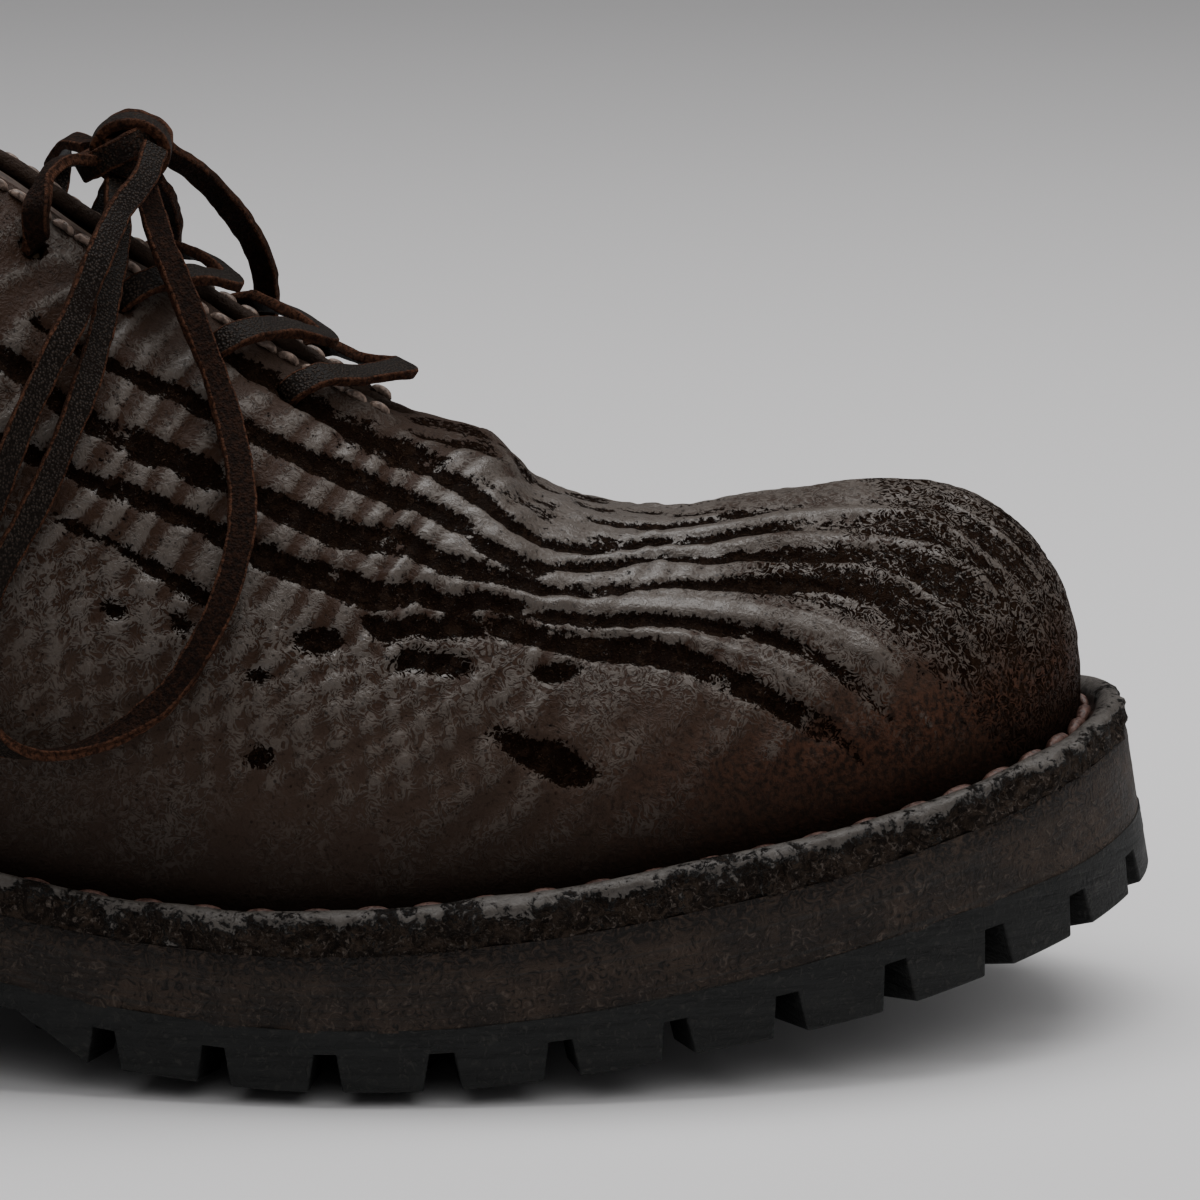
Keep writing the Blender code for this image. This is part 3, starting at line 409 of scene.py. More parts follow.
# %% [markdown]
# ## Building finishes from nodes
# A finish is a colour, a roughness and a fine relief, all worked out from noise in the shoe's own
# coordinates. The small class below adds one shader node for each call and hands back its output, so a
# finish reads like a recipe.

# %% A recipe book for materials


class Finish:
    """A material under construction on a Principled shader."""

    def __init__(self, name):
        self.material = bpy.data.materials.new(name)
        self.material.use_nodes = True
        self.tree = self.material.node_tree
        self.shader = self.tree.nodes["Principled BSDF"]
        self.place = self.tree.nodes.new("ShaderNodeTexCoord").outputs["Object"]

    def node(self, kind, inputs, output=0, **settings):
        """Adds a node, with settings on it and values or outputs fed into its inputs by name or number."""
        made = self.tree.nodes.new(kind)
        for key, value in settings.items():
            setattr(made, key, value)
        for key, value in inputs.items():
            self.feed(made.inputs[key], value)
        return made.outputs[output]

    def feed(self, socket, value):
        """Links an output to a socket, or sets the socket to a value."""
        if isinstance(value, bpy.types.NodeSocket):
            self.tree.links.new(value, socket)
        else:
            socket.default_value = value

    def value(self, name):
        """A per-point value of the mesh."""
        return self.node("ShaderNodeAttribute", {}, "Fac", attribute_name=name)

    def stretched(self, x, y, z, place=None):
        """The coordinates scaled along each axis, so that a pattern is drawn out."""
        inputs = {"Vector": place or self.place, "Scale": (x, y, z)}
        return self.node("ShaderNodeMapping", inputs)

    def joined(self, x, y, z=0.0):
        """Coordinates made from three values."""
        return self.node("ShaderNodeCombineXYZ", {0: x, 1: y, 2: z})

    def noise(self, scale, detail=3.0, rough=0.55, place=None, twist=0.0):
        """Soft noise, which twist bends into curls."""
        inputs = {"Vector": place or self.place, "Scale": scale, "Detail": detail}
        inputs.update({"Roughness": rough, "Distortion": twist})
        return self.node("ShaderNodeTexNoise", inputs)

    def cells(self, scale, feature="F1", place=None):
        """The distance to the nearest of many scattered points."""
        inputs = {"Vector": place or self.place, "Scale": scale}
        return self.node("ShaderNodeTexVoronoi", inputs, feature=feature)

    def sum(self, first, second):
        """The sum of two values."""
        return self.node("ShaderNodeMath", {0: first, 1: second}, operation="ADD")

    def times(self, first, second):
        """The product of two values."""
        return self.node("ShaderNodeMath", {0: first, 1: second}, operation="MULTIPLY")

    def most(self, first, second):
        """The larger of two values."""
        return self.node("ShaderNodeMath", {0: first, 1: second}, operation="MAXIMUM")

    def between(self, value, low, high, to_low=0.0, to_high=1.0):
        """A soft step: to_low where the value is low, to_high where it is high."""
        inputs = {0: value, 1: low, 2: high, 3: to_low, 4: to_high}
        return self.node("ShaderNodeMapRange", inputs, interpolation_type="SMOOTHSTEP")

    def blend(self, share, first, second):
        """A colour between two colours, which are triples or outputs."""
        made = self.tree.nodes.new("ShaderNodeMix")
        made.data_type = "RGBA"
        for socket, value in ((made.inputs[0], share), (made.inputs[6], first), (made.inputs[7], second)):
            self.feed(socket, (*value, 1.0) if isinstance(value, tuple) else value)
        return made.outputs[2]

    def relief(self, height, deep, under=None):
        """Tilts the shading as if the surface rose deep millimetres where height is 1."""
        inputs = {"Height": height, "Distance": deep * MM, "Strength": 1.0}
        if under:
            inputs["Normal"] = under
        return self.node("ShaderNodeBump", inputs)

    def done(self, colour, roughness, normal=None, **others):
        """Feeds the shader, its other sockets by their names."""
        self.feed(self.shader.inputs["Base Color"], (*colour, 1.0) if isinstance(colour, tuple) else colour)
        self.feed(self.shader.inputs["Roughness"], roughness)
        if normal:
            self.feed(self.shader.inputs["Normal"], normal)
        for key, value in others.items():
            self.feed(self.shader.inputs[key.replace("_", " ")], value)
        print("finish:", self.material.name)
        return self.material


# %% [markdown]
# ## Camera, floor and light
# The photograph looks at the outer side of the right shoe from twelve degrees above the floor with a long
# lens, and its frame cuts off the heel. One large soft light hangs above and behind the shoe, so the
# floor falls off gently to the top of the picture and the waxed ridges catch a long highlight. Two weaker
# lamps lighten the outer side and the shadow at the toe; they make no highlights of their own.

# %% Camera
VIEW_TARGET = np.array((225.6, 0.0, 61.0))
VIEW_DISTANCE, VIEW_ELEVATION = 1000.0, 12.0
VIEW_LENS, VIEW_SENSOR = 208.5, 36.0
VIEW_NEAR, VIEW_FAR = 0.05, 50.0
tilt = math.radians(VIEW_ELEVATION)
eye = VIEW_TARGET + VIEW_DISTANCE * np.array((0.0, -math.cos(tilt), math.sin(tilt)))
camera = bpy.data.objects.new("camera", bpy.data.cameras.new("camera"))
camera.data.lens, camera.data.sensor_width = VIEW_LENS, VIEW_SENSOR
camera.location = (eye - ORIGIN) * MM
camera.rotation_euler = (math.pi / 2.0 - tilt, 0.0, 0.0)
camera.data.clip_start, camera.data.clip_end = VIEW_NEAR, VIEW_FAR
bpy.context.scene.collection.objects.link(camera)
bpy.context.scene.camera = camera
print("camera at", np.round(np.array(camera.location), 3), "m")

# %% Floor and light
FLOOR_HALF = 6.0
FLOOR_COLOUR = (0.69, 0.68, 0.685)
# Each lamp: place in metres, turns about x and y in degrees, size in metres, power in watts
SOFTBOX = ((0.11, 0.18, 1.00), (0.0, 0.0), (1.30, 0.74), 13.4)
FRONT_FILL = ((0.15, -0.80, 0.85), (43.0, 0.0), (1.40, 0.80), 4.5)
TOE_FILL = ((0.64, -0.05, 0.30), (0.0, 60.0), (0.50, 0.40), 1.0)
WORLD_COLOUR, WORLD_STRENGTH = (0.80, 0.80, 0.81), 0.17

paper = Finish("floor paper")
paper_grain = paper.noise(900.0, 2.0)
floor_material = paper.done(FLOOR_COLOUR, paper.between(paper_grain, 0.3, 0.7, 0.85, 0.95))
floor_mesh = bpy.data.meshes.new("floor")
corners = FLOOR_HALF * np.array([(-1, -1, 0), (1, -1, 0), (1, 1, 0), (-1, 1, 0)], float)
floor_mesh.from_pydata(corners.tolist(), [], [(0, 1, 2, 3)])
floor_mesh.materials.append(floor_material)
floor = bpy.data.objects.new("floor", floor_mesh)
bpy.context.scene.collection.objects.link(floor)
floor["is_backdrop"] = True


def soft_light(name, place, turns, size, power):
    """A rectangular lamp that looks down, turned by some degrees about x and y."""
    lamp = bpy.data.objects.new(name, bpy.data.lights.new(name, "AREA"))
    lamp.data.shape = "RECTANGLE"
    lamp.data.size, lamp.data.size_y = size
    lamp.data.energy = power
    lamp.location, lamp.rotation_euler = place, (*np.radians(turns), 0.0)
    bpy.context.scene.collection.objects.link(lamp)
    return lamp


soft_light("softbox", *SOFTBOX)
for fill_name, fill in (("front fill", FRONT_FILL), ("toe fill", TOE_FILL)):
    soft_light(fill_name, *fill).visible_glossy = False
world = bpy.data.worlds.new("room")
world.use_nodes = True
world.node_tree.nodes["Background"].inputs["Color"].default_value = (*WORLD_COLOUR, 1.0)
world.node_tree.nodes["Background"].inputs["Strength"].default_value = WORLD_STRENGTH
bpy.context.scene.world = world
print("softbox of", SOFTBOX[2], "m at", SOFTBOX[0])

# %% [markdown]
# ## Marks on the leather
# The hide is a deeply grooved one: waxed ridges run the length of the foot with rough dark furrows
# between them, they draw together where the vamp bends, and fan out over the toe. Each furrow is a row
# table of (s, rise, half width), so it can be moved like a chalk line on the last. The same tables give
# the relief of the mesh and, as a per-point value, the colour and roughness.

# %% Tables of furrows, ridges and pits
FURROWS = (
    # s, rise, half width in mm
    ((0.535, 0.925, 0.0), (0.560, 0.905, 2.2), (0.600, 0.895, 3.0), (0.618, 0.880, 2.8),
     (0.633, 0.842, 2.5), (0.648, 0.800, 2.3), (0.665, 0.757, 2.0), (0.675, 0.740, 1.6),
     (0.683, 0.752, 1.2), (0.710, 0.793, 1.3), (0.730, 0.822, 1.4), (0.770, 0.849, 1.6),
     (0.800, 0.852, 1.9), (0.830, 0.838, 2.1), (0.860, 0.812, 2.0), (0.880, 0.783, 1.4),
     (0.905, 0.735, 0.0)),
    ((0.465, 0.792, 0.0), (0.490, 0.787, 1.2), (0.510, 0.786, 1.6), (0.543, 0.786, 1.9),
     (0.577, 0.779, 2.0), (0.602, 0.783, 2.2), (0.618, 0.776, 2.2), (0.627, 0.752, 1.9),
     (0.640, 0.724, 1.8), (0.652, 0.695, 1.7), (0.665, 0.660, 1.5), (0.677, 0.659, 1.4),
     (0.693, 0.703, 1.3), (0.710, 0.737, 1.2), (0.730, 0.769, 1.2), (0.750, 0.786, 1.3),
     (0.770, 0.786, 1.7), (0.790, 0.777, 2.0), (0.810, 0.762, 2.5), (0.830, 0.738, 2.8),
     (0.850, 0.705, 2.6), (0.870, 0.665, 1.8), (0.890, 0.620, 0.0)),
    ((0.180, 0.690, 0.0), (0.240, 0.700, 1.0), (0.330, 0.700, 1.6), (0.400, 0.708, 1.5),
     (0.460, 0.714, 2.2), (0.510, 0.686, 2.3), (0.543, 0.686, 2.4), (0.577, 0.679, 2.4),
     (0.602, 0.678, 2.5), (0.618, 0.682, 2.4), (0.635, 0.648, 2.0), (0.648, 0.621, 1.8),
     (0.665, 0.612, 1.5), (0.680, 0.626, 1.4), (0.693, 0.649, 1.4), (0.710, 0.668, 1.4),
     (0.730, 0.690, 1.3), (0.750, 0.702, 1.2), (0.770, 0.696, 1.5), (0.790, 0.674, 1.9),
     (0.810, 0.648, 2.2), (0.830, 0.600, 2.3), (0.850, 0.530, 2.0), (0.870, 0.440, 1.5),
     (0.885, 0.340, 0.0)),
    ((0.280, 0.590, 0.0), (0.350, 0.600, 1.3), (0.420, 0.612, 1.2), (0.505, 0.614, 1.6),
     (0.543, 0.610, 1.8), (0.577, 0.593, 2.2), (0.600, 0.595, 2.2), (0.618, 0.590, 2.3),
     (0.635, 0.571, 2.1), (0.652, 0.557, 1.9), (0.668, 0.566, 1.7), (0.685, 0.581, 1.6),
     (0.700, 0.598, 1.5), (0.730, 0.604, 1.5), (0.750, 0.600, 1.6), (0.770, 0.578, 1.7),
     (0.790, 0.531, 1.6), (0.810, 0.457, 1.4), (0.830, 0.343, 1.2), (0.844, 0.229, 0.0)),
    ((0.606, 0.553, 0.0), (0.615, 0.541, 1.4), (0.627, 0.525, 2.0), (0.643, 0.519, 2.1),
     (0.668, 0.528, 2.0), (0.693, 0.543, 2.2), (0.710, 0.543, 2.6), (0.730, 0.530, 2.8),
     (0.750, 0.500, 2.8), (0.770, 0.444, 2.4), (0.790, 0.371, 2.0), (0.810, 0.286, 1.5),
     (0.830, 0.171, 0.0)),
    ((0.700, 0.890, 0.0), (0.725, 0.902, 0.9), (0.750, 0.915, 1.3), (0.780, 0.927, 1.4),
     (0.820, 0.927, 1.6), (0.860, 0.902, 1.5), (0.890, 0.865, 1.2), (0.925, 0.800, 0.0)),
    ((0.478, 0.550, 0.0), (0.490, 0.546, 1.0), (0.510, 0.538, 1.2), (0.530, 0.522, 1.7),
     (0.545, 0.510, 1.6), (0.553, 0.504, 0.0)),
    ((0.560, 0.420, 0.0), (0.566, 0.424, 1.3), (0.574, 0.431, 0.6), (0.591, 0.443, 0.0)),
    ((0.300, 0.470, 0.0), (0.350, 0.480, 1.0), (0.420, 0.500, 1.3), (0.465, 0.520, 0.0)),
    ((0.055, 0.560, 0.0), (0.090, 0.570, 1.1), (0.150, 0.590, 1.3), (0.220, 0.585, 0.0)),
    ((0.060, 0.760, 0.0), (0.120, 0.775, 1.0), (0.200, 0.790, 1.2), (0.290, 0.800, 0.0)),
)
RIDGES = (
    # s, rise, half width in mm, of the smooth raised strips
    ((0.735, 0.855, 0.0), (0.750, 0.868, 0.9), (0.780, 0.884, 1.1), (0.820, 0.886, 1.1),
     (0.850, 0.865, 1.0), (0.880, 0.825, 0.9), (0.905, 0.790, 0.0)),
    ((0.700, 0.755, 0.0), (0.730, 0.796, 1.0), (0.770, 0.812, 1.1), (0.810, 0.797, 1.2),
     (0.840, 0.768, 1.2), (0.860, 0.733, 1.2), (0.880, 0.693, 1.0), (0.900, 0.655, 0.0)),
    ((0.680, 0.600, 0.0), (0.690, 0.620, 0.9), (0.710, 0.641, 1.0), (0.730, 0.645, 1.4),
     (0.750, 0.643, 1.6), (0.770, 0.624, 1.6), (0.790, 0.590, 1.5), (0.810, 0.543, 1.6),
     (0.826, 0.486, 1.7), (0.838, 0.429, 1.6), (0.848, 0.375, 0.0)),
    ((0.690, 0.560, 0.0), (0.720, 0.574, 0.4), (0.750, 0.560, 0.5), (0.770, 0.520, 0.6),
     (0.790, 0.455, 0.6), (0.805, 0.380, 0.5), (0.820, 0.290, 0.0)),
    ((0.826, 0.700, 0.0), (0.844, 0.669, 0.5), (0.864, 0.600, 0.5), (0.873, 0.543, 0.5),
     (0.885, 0.429, 0.5), (0.896, 0.314, 0.0)),
    ((0.884, 0.660, 0.0), (0.900, 0.610, 0.5), (0.913, 0.543, 0.5), (0.920, 0.440, 0.0)),
    ((0.905, 0.760, 0.0), (0.914, 0.726, 0.6), (0.923, 0.634, 0.6), (0.931, 0.531, 0.6),
     (0.936, 0.440, 0.5), (0.942, 0.300, 0.0)),
    ((0.938, 0.820, 0.0), (0.947, 0.740, 0.5), (0.953, 0.620, 0.6), (0.958, 0.500, 0.6),
     (0.964, 0.360, 0.0)),
    ((0.966, 0.860, 0.0), (0.972, 0.760, 0.5), (0.978, 0.600, 0.5), (0.984, 0.420, 0.0)),
    ((0.805, 0.640, 0.0), (0.822, 0.610, 0.5), (0.840, 0.550, 0.4), (0.852, 0.470, 0.0)),
    ((0.842, 0.330, 0.0), (0.850, 0.290, 0.4), (0.858, 0.220, 0.4), (0.862, 0.140, 0.0)),
)
PITS = (
    # s, rise, half length, half width in mm, tilt in degrees
    (0.508, 0.457, 1.7, 1.1, 10.0), (0.536, 0.467, 1.5, 1.3, 30.0), (0.593, 0.500, 4.0, 1.5, 22.0),
    (0.640, 0.467, 5.6, 1.7, -8.0), (0.690, 0.478, 3.8, 1.3, 20.0), (0.566, 0.310, 2.2, 1.4, 25.0),
    (0.688, 0.319, 7.6, 2.6, -22.0), (0.420, 0.400, 3.0, 1.3, 12.0), (0.250, 0.420, 3.4, 1.2, -6.0),
    (0.130, 0.360, 2.6, 1.2, 8.0), (0.340, 0.330, 2.4, 1.1, 18.0),
)
ROUGH_ROWS = (
    # rise, s past which the toe is napped all over
    (0.00, 0.900), (0.20, 0.875), (0.35, 0.855), (0.45, 0.846), (0.60, 0.805), (0.70, 0.780),
    (0.80, 0.865), (0.90, 0.905), (1.00, 0.925),
)
KNUCKLE = (0.834, 0.445, 3.2)
print(len(FURROWS), "furrows,", len(RIDGES), "ridges and", len(PITS), "pits")

# %% Zones, heights and tints of the marks
SIDE_LONG = 345.0
OFF_MARK = -9.0
SMALL_S = 0.002
MEDIAL_SWAY, SWAY_UP, SWAY_ALONG = 0.012, 9.0, 20.0
FOLD_STRETCH = np.array((0.30, 1.0, 1.0))
PLEAT_PITCH, FINE_PITCH, WEAVE_PITCH, RIB_PITCH = 5.6, 2.9, 7.0, 8.5
ZONES = {
    # where a mark begins and ends along s, then up the rise, each as the span of a soft step
    "red": ((0.66, 0.84), None, None, (0.46, 0.22)),
    "quilted": ((0.44, 0.50), (0.72, 0.64), (0.22, 0.30), (0.56, 0.48)),
    "cracked": (None, None, (0.04, 0.16), (0.55, 0.45)),
    "pleated": ((0.40, 0.47), (0.80, 0.72), (0.26, 0.36), (0.96, 0.84)),
    "low ribs": ((0.58, 0.68), (0.86, 0.76), (0.10, 0.26), (0.46, 0.36)),
    "crumpled": ((0.60, 0.64), (0.76, 0.70), (0.72, 0.80), None),
    "folded": ((0.57, 0.62), (0.86, 0.76), (0.76, 0.86), None),
    "crown": ((0.78, 0.84), None, (0.80, 0.88), None),
    "hump": ((0.50, 0.53), (0.71, 0.65), (0.83, 0.90), None),
    "bend": ((0.62, 0.66), (0.82, 0.74), (0.54, 0.62), None),
}
HEIGHTS = {
    # how high each mark stands, in mm
    "furrow": -0.85, "strip": 0.34, "pleat": 0.26, "rib": 0.80, "quilt": 0.36, "crumple": 0.60,
    "fold": 0.45, "nap": 0.22, "swell": 0.35, "knuckle": 0.80,
}
TINT_PLAIN = 0.48
TINTS = {
    # how much greyer each mark makes the film
    "pleat": 0.65, "cloud": 0.25, "strip": 0.38, "side": -0.26, "rough": -0.02, "hump": -0.28,
    "bend": 0.60, "fold": 0.35, "crown": 0.16, "rib": 0.32, "quilt": 0.60, "red": -0.25, "quarter": 0.10,
}
COVER_PLAIN, COVER_WHOLE, COVER_STRIP, COVER_KNUCKLE, COVER_ISLAND = 0.90, 1.05, 0.92, 0.90, 0.44
print(len(ZONES), "zones of marks on sides about", SIDE_LONG, "mm long")

# %% Lines, pits and waves


def line_gap(rows, s, rise, long):
    """How far inside a drawn line a point lies, in mm: the half width less the distance to its middle."""
    middle, half = smooth(rows, 1, s), smooth(rows, 2, s)
    lean = (smooth(rows, 1, s + SMALL_S) - smooth(rows, 1, s - SMALL_S)) / (2.0 * SMALL_S) * long / SIDE_LONG
    gap = half - np.abs(rise - middle) * long / np.sqrt(1.0 + lean**2)
    return np.where((s > rows[0][0]) & (s < rows[-1][0]), gap, OFF_MARK)


def pit_gap(pit, s, rise, long):
    """How far inside an oval pit a point lies, in mm."""
    at_s, at_rise, half_long, half_wide, tilted = pit
    turn = math.radians(tilted)
    u, v = (s - at_s) * SIDE_LONG, (rise - at_rise) * long
    along = (u * math.cos(turn) + v * math.sin(turn)) / half_long
    across = (v * math.cos(turn) - u * math.sin(turn)) / half_wide
    return np.maximum((1.0 - np.hypot(along, across)) * half_wide, OFF_MARK)


def zone(name, s, rise):
    """A soft window on the upper: the product of its steps along s and up the rise."""
    spans = zip(ZONES[name], (s, s, rise, rise))
    return np.prod([step(*span, at) for span, at in spans if span], axis=0)


def waves(distance, pitch, shift=0.0):
    """A sine wave along a distance."""
    return np.sin(distance * 2.0 * math.pi / pitch + shift)


def line_marks(s, rise, points, long):
    """How far inside a furrow or pit, a pit, and a raised strip each point lies, with ragged borders."""
    ragged = 0.60 * lump("tears", points) + 0.35 * lump("frays", points)
    furrow = np.max([line_gap(rows, s, rise, long) for rows in FURROWS], axis=0) + 0.8 * ragged - 0.35
    pit = np.max([pit_gap(place, s, rise, long) for place in PITS], axis=0) + 0.7 * ragged
    ridge = np.max([line_gap(rows, s, rise, long) for rows in RIDGES], axis=0) + 0.25 * ragged
    return np.maximum(furrow, pit), pit, ridge


def leather_waves(s, rise, points, long, zones):
    """Slanted pleats, a quilt and low ribs: sine waves with uneven phases, each strong in its own zone."""
    ahead, up = s * SIDE_LONG, rise * long
    flow = ahead - 0.68 * up + 2.2 * lump("flow", points)
    weave = 0.35 * ahead + 0.9 * up + 2.0 * lump("weave", points)
    pleats = waves(flow, PLEAT_PITCH) + 0.25 * waves(flow, FINE_PITCH, 1.0)
    pleated = (0.12 + 0.88 * zones["pleated"]) * (0.28 + 0.72 * step(0.40, 0.58, rise))
    pleated = pleated * (0.62 + 0.60 * lump("pleats", points))
    quilt = waves(flow, PLEAT_PITCH) * waves(weave, WEAVE_PITCH) * zones["quilted"]
    ribs = waves(0.66 * ahead - 0.75 * up, RIB_PITCH, 2.2 * lump("ribs", points))
    return pleats * pleated, quilt, ribs * zones["low ribs"] * (0.7 + 0.6 * lump("low ribs", points))


def knuckle_bump(s, rise, long):
    """A round bump that falls off with the square of the distance, as a bell curve."""
    at_s, at_rise, wide = KNUCKLE
    off = np.hypot((s - at_s) * SIDE_LONG, (rise - at_rise) * long) / wide
    return np.exp(-1.6 * off**2)


print("the knuckle is", KNUCKLE[2], "mm wide")

# %% Fields over the leather


def leather_fields(side, s, rise, points, long):
    """The marks at each point of the upper: the relief in mm, and the values that the finish reads.

    Relief is the sum of the marks times their heights, and tint, which tells how grey the film is, the sum
    of the marks times their tints. Cover is how much of the waxed film is left on the nap, from 0 in a
    furrow to 1 on a raised strip.
    """
    if side == MEDIAL:
        s = s + MEDIAL_SWAY * (1.0 - rise) * np.sin(SWAY_UP * rise + SWAY_ALONG * s)
    zones = {name: zone(name, s, rise) for name in ZONES}
    furrow, pit, ridge = line_marks(s, rise, points, long)
    rough = step(-0.015, 0.030, s - smooth(ROUGH_ROWS, 1, rise, level_ends=True))
    fading = 1.0 - 0.75 * step(0.79, 0.87, s)
    valley, crest = step(-0.7, 0.8, furrow) * fading, step(-0.5, 0.5, ridge)
    pleat, quilt, rib = leather_waves(s, rise, points, long, zones)
    pleat = pleat * (1.0 - rough)
    nap, crumples, folds = lump("nap", points), lump("crumple", points), lump("folds", points * FOLD_STRETCH)
    knuckle = knuckle_bump(s, rise, long)
    fold, hump = folds * zones["folded"], zones["hump"]
    heights = {
        "furrow": valley, "strip": crest, "pleat": pleat * (1.0 - 0.75 * valley), "rib": rib, "quilt": quilt,
        "crumple": crumples * zones["crumpled"], "fold": fold, "swell": lump("swell", points),
        "nap": nap * (0.25 + 0.75 * np.maximum(valley, rough * (1.0 - crest))), "knuckle": knuckle,
    }
    relief = sum(HEIGHTS[key] * mark for key, mark in heights.items())
    tints = {
        "pleat": pleat, "cloud": lump("clouds", points), "strip": crest, "side": step(0.50, 0.25, rise),
        "rough": rough, "hump": hump, "bend": zones["bend"] * (1.0 - hump), "fold": fold, "rib": rib,
        "crown": zones["crown"], "quilt": quilt, "red": zones["red"],
        "quarter": step(0.56, 0.47, s) * (step(0.75, 0.55, rise) - step(0.62, 0.80, rise)),
    }
    tint = TINT_PLAIN + sum(TINTS[key] * mark for key, mark in tints.items())
    crackle = np.maximum(zones["quilted"], 0.55 * zones["cracked"])
    cover = COVER_PLAIN - (0.64 + 0.12 * step(0.80, 0.60, rise)) * rough + 0.20 * zones["crown"]
    cover = cover + 0.10 * nap + 0.06 * crumples
    whole = np.maximum(step(0.45, 0.28, rise), crackle) * (1.0 - 0.75 * rough)
    cover = cover + (COVER_WHOLE - cover) * whole
    cover = cover - 0.55 * zones["folded"] * step(0.0, -0.45, folds)
    inside = step(-0.55, 0.45, furrow) * fading
    islands = COVER_ISLAND * step(0.15, 0.75, lump("islands", points)) * step(-0.2, -0.9, pit)
    cover = cover * (1.0 - inside) + inside * islands
    cover = np.maximum(cover, COVER_STRIP * step(-0.5, 0.2, ridge))
    cover = np.maximum(cover, COVER_KNUCKLE * step(0.25, 0.6, knuckle))
    values = {"cover": cover, "tint": tint, "rough": rough, "red": zones["red"], "crackle": crackle}
    values["dull"] = np.maximum(step(0.46, 0.34, rise), 0.9 * hump)
    # shade_and_grime is painted shade: the upper grows darker toward the bottom, where its side bulges over
    # the welt. The hump is also darkened a little.
    values["shade_and_grime"] = np.maximum(0.95 * step(0.32, 0.03, rise), 0.25 * hump)
    return relief * step(0.0, 0.05, rise), values


print("the relief adds", len(HEIGHTS), "marks and the tint", len(TINTS))

# %% [markdown]
# ## The finish of the hide
# A furrowed hide has three looks at once: waxed grain on the ridges, raw nap in the furrows, and a dull
# greyed grain low on the sides that turns reddish toward the toe. The mesh tells the material how much of
# the waxed film is left at each point, and fine curling noise tears the film's border, so it looks flaked
# and not drawn.

# %% Furrowed hide
FILM_DARK, FILM_LIGHT = (0.0285, 0.0146, 0.0090), (0.070, 0.0562, 0.0468)
# PALE_NAP_AND_SPARKLE is a pale nap tone. On the hairs in the furrows it is a painted sparkle highlight.
NAP_DARK, PALE_NAP_AND_SPARKLE = (0.0076, 0.0037, 0.0021), (0.064, 0.039, 0.027)
NAP_MIDDLE = (0.0165, 0.0090, 0.0056)
# GRIME_AND_SHADE is one dark brown used twice: as random dirt in the film, and as the painted shade low on
# the upper near the welt.
LOW_RED, GRIME_AND_SHADE = (0.052, 0.0205, 0.0110), (0.0086, 0.0050, 0.0034)

hide = Finish("furrowed hide")
fray = hide.noise(1150.0, 5.0, 0.68)
curls = hide.noise(480.0, 2.0, 0.55, twist=2.4)
curls = hide.node("ShaderNodeMath", {0: hide.sum(curls, -0.5)}, operation="ABSOLUTE")
curls = hide.between(curls, 0.02, 0.12, 1.0, 0.0)
clouds = hide.noise(150.0, 4.0, 0.6)
hairs = hide.noise(1900.0, 3.0, 0.6, twist=1.2)
tufts = hide.noise(520.0, 3.0, 0.62, twist=0.8)
curled = hide.most(hide.value("crackle"), hide.value("rough"))
curl_share = hide.between(curled, 0.0, 1.0, 0.18, 0.72)
torn = hide.node("ShaderNodeMix", {0: curl_share, 2: hide.between(fray, 0.30, 0.70), 3: curls})
torn = hide.times(hide.sum(torn, -0.5), hide.between(curled, 0.0, 1.0, 0.80, 1.0))
film = hide.between(hide.sum(hide.value("cover"), torn), 0.44, 0.56)
cast = hide.sum(hide.value("tint"), hide.times(hide.sum(clouds, -0.5), 0.9))
cast = hide.sum(cast, hide.times(hide.sum(curls, -0.5), hide.between(curled, 0.0, 1.0, 0.35, 0.75)))
cast = hide.sum(cast, hide.times(hide.sum(fray, -0.5), 0.42))
dull = hide.value("dull")
grey = hide.node("ShaderNodeMix", {0: hide.times(dull, 0.38), 2: hide.between(cast, 0.22, 0.80), 3: 0.58})
gloss = hide.between(cast, 0.70, 1.40)
waxed = hide.blend(grey, FILM_DARK, FILM_LIGHT)
waxed = hide.blend(hide.between(fray, 0.46, 0.34, 0.0, 0.55), waxed, GRIME_AND_SHADE)
pinholes = hide.times(hide.between(hide.cells(640.0), 0.20, 0.11), hide.between(fray, 0.44, 0.56))
waxed = hide.blend(hide.times(pinholes, 0.85), waxed, NAP_DARK)
red_share = hide.times(hide.value("red"), hide.between(cast, 0.75, 0.35))
rosy = hide.blend(hide.between(fray, 0.38, 0.62), GRIME_AND_SHADE, LOW_RED)
waxed = hide.blend(red_share, waxed, rosy)
tufted = hide.sum(tufts, hide.times(hide.value("rough"), 0.10))
raw = hide.blend(hide.between(tufted, 0.48, 0.66), NAP_DARK, NAP_MIDDLE)
# Light flecks on the nap hairs are painted sparkle highlights, partly pale fibres.
raw = hide.blend(hide.between(hairs, 0.58, 0.78), raw, PALE_NAP_AND_SPARKLE)
hide_colour = hide.blend(film, raw, waxed)
# Painted shade: shade_and_grime turns the colour to dark brown low on the upper, by the welt.
hide_colour = hide.blend(hide.value("shade_and_grime"), hide_colour, GRIME_AND_SHADE)
sheen = hide.sum(hide.between(gloss, 0.0, 1.0, 0.48, 0.30), hide.times(dull, 0.10))
glint = hide.between(hide.noise(2700.0, 2.0), 0.66, 0.74)
hide_rough = hide.node("ShaderNodeMix", {0: film, 2: hide.between(glint, 0.0, 1.0, 0.85, 0.25), 3: sheen})
hide_shine = hide.sum(hide.between(grey, 0.0, 1.0, 0.13, 0.25), hide.times(gloss, 0.21))
hide_shine = hide.times(hide_shine, hide.between(dull, 0.0, 1.0, 1.0, 0.50))
hide_shine = hide.times(hide_shine, hide.sum(hide.between(film, 0.0, 1.0, 0.15, 1.0), hide.times(glint, 1.8)))
bare = hide.between(film, 0.0, 1.0, 1.0, 0.0)
wrinkle = hide.noise(340.0, 3.0, 0.6)
pores = hide.cells(1250.0)
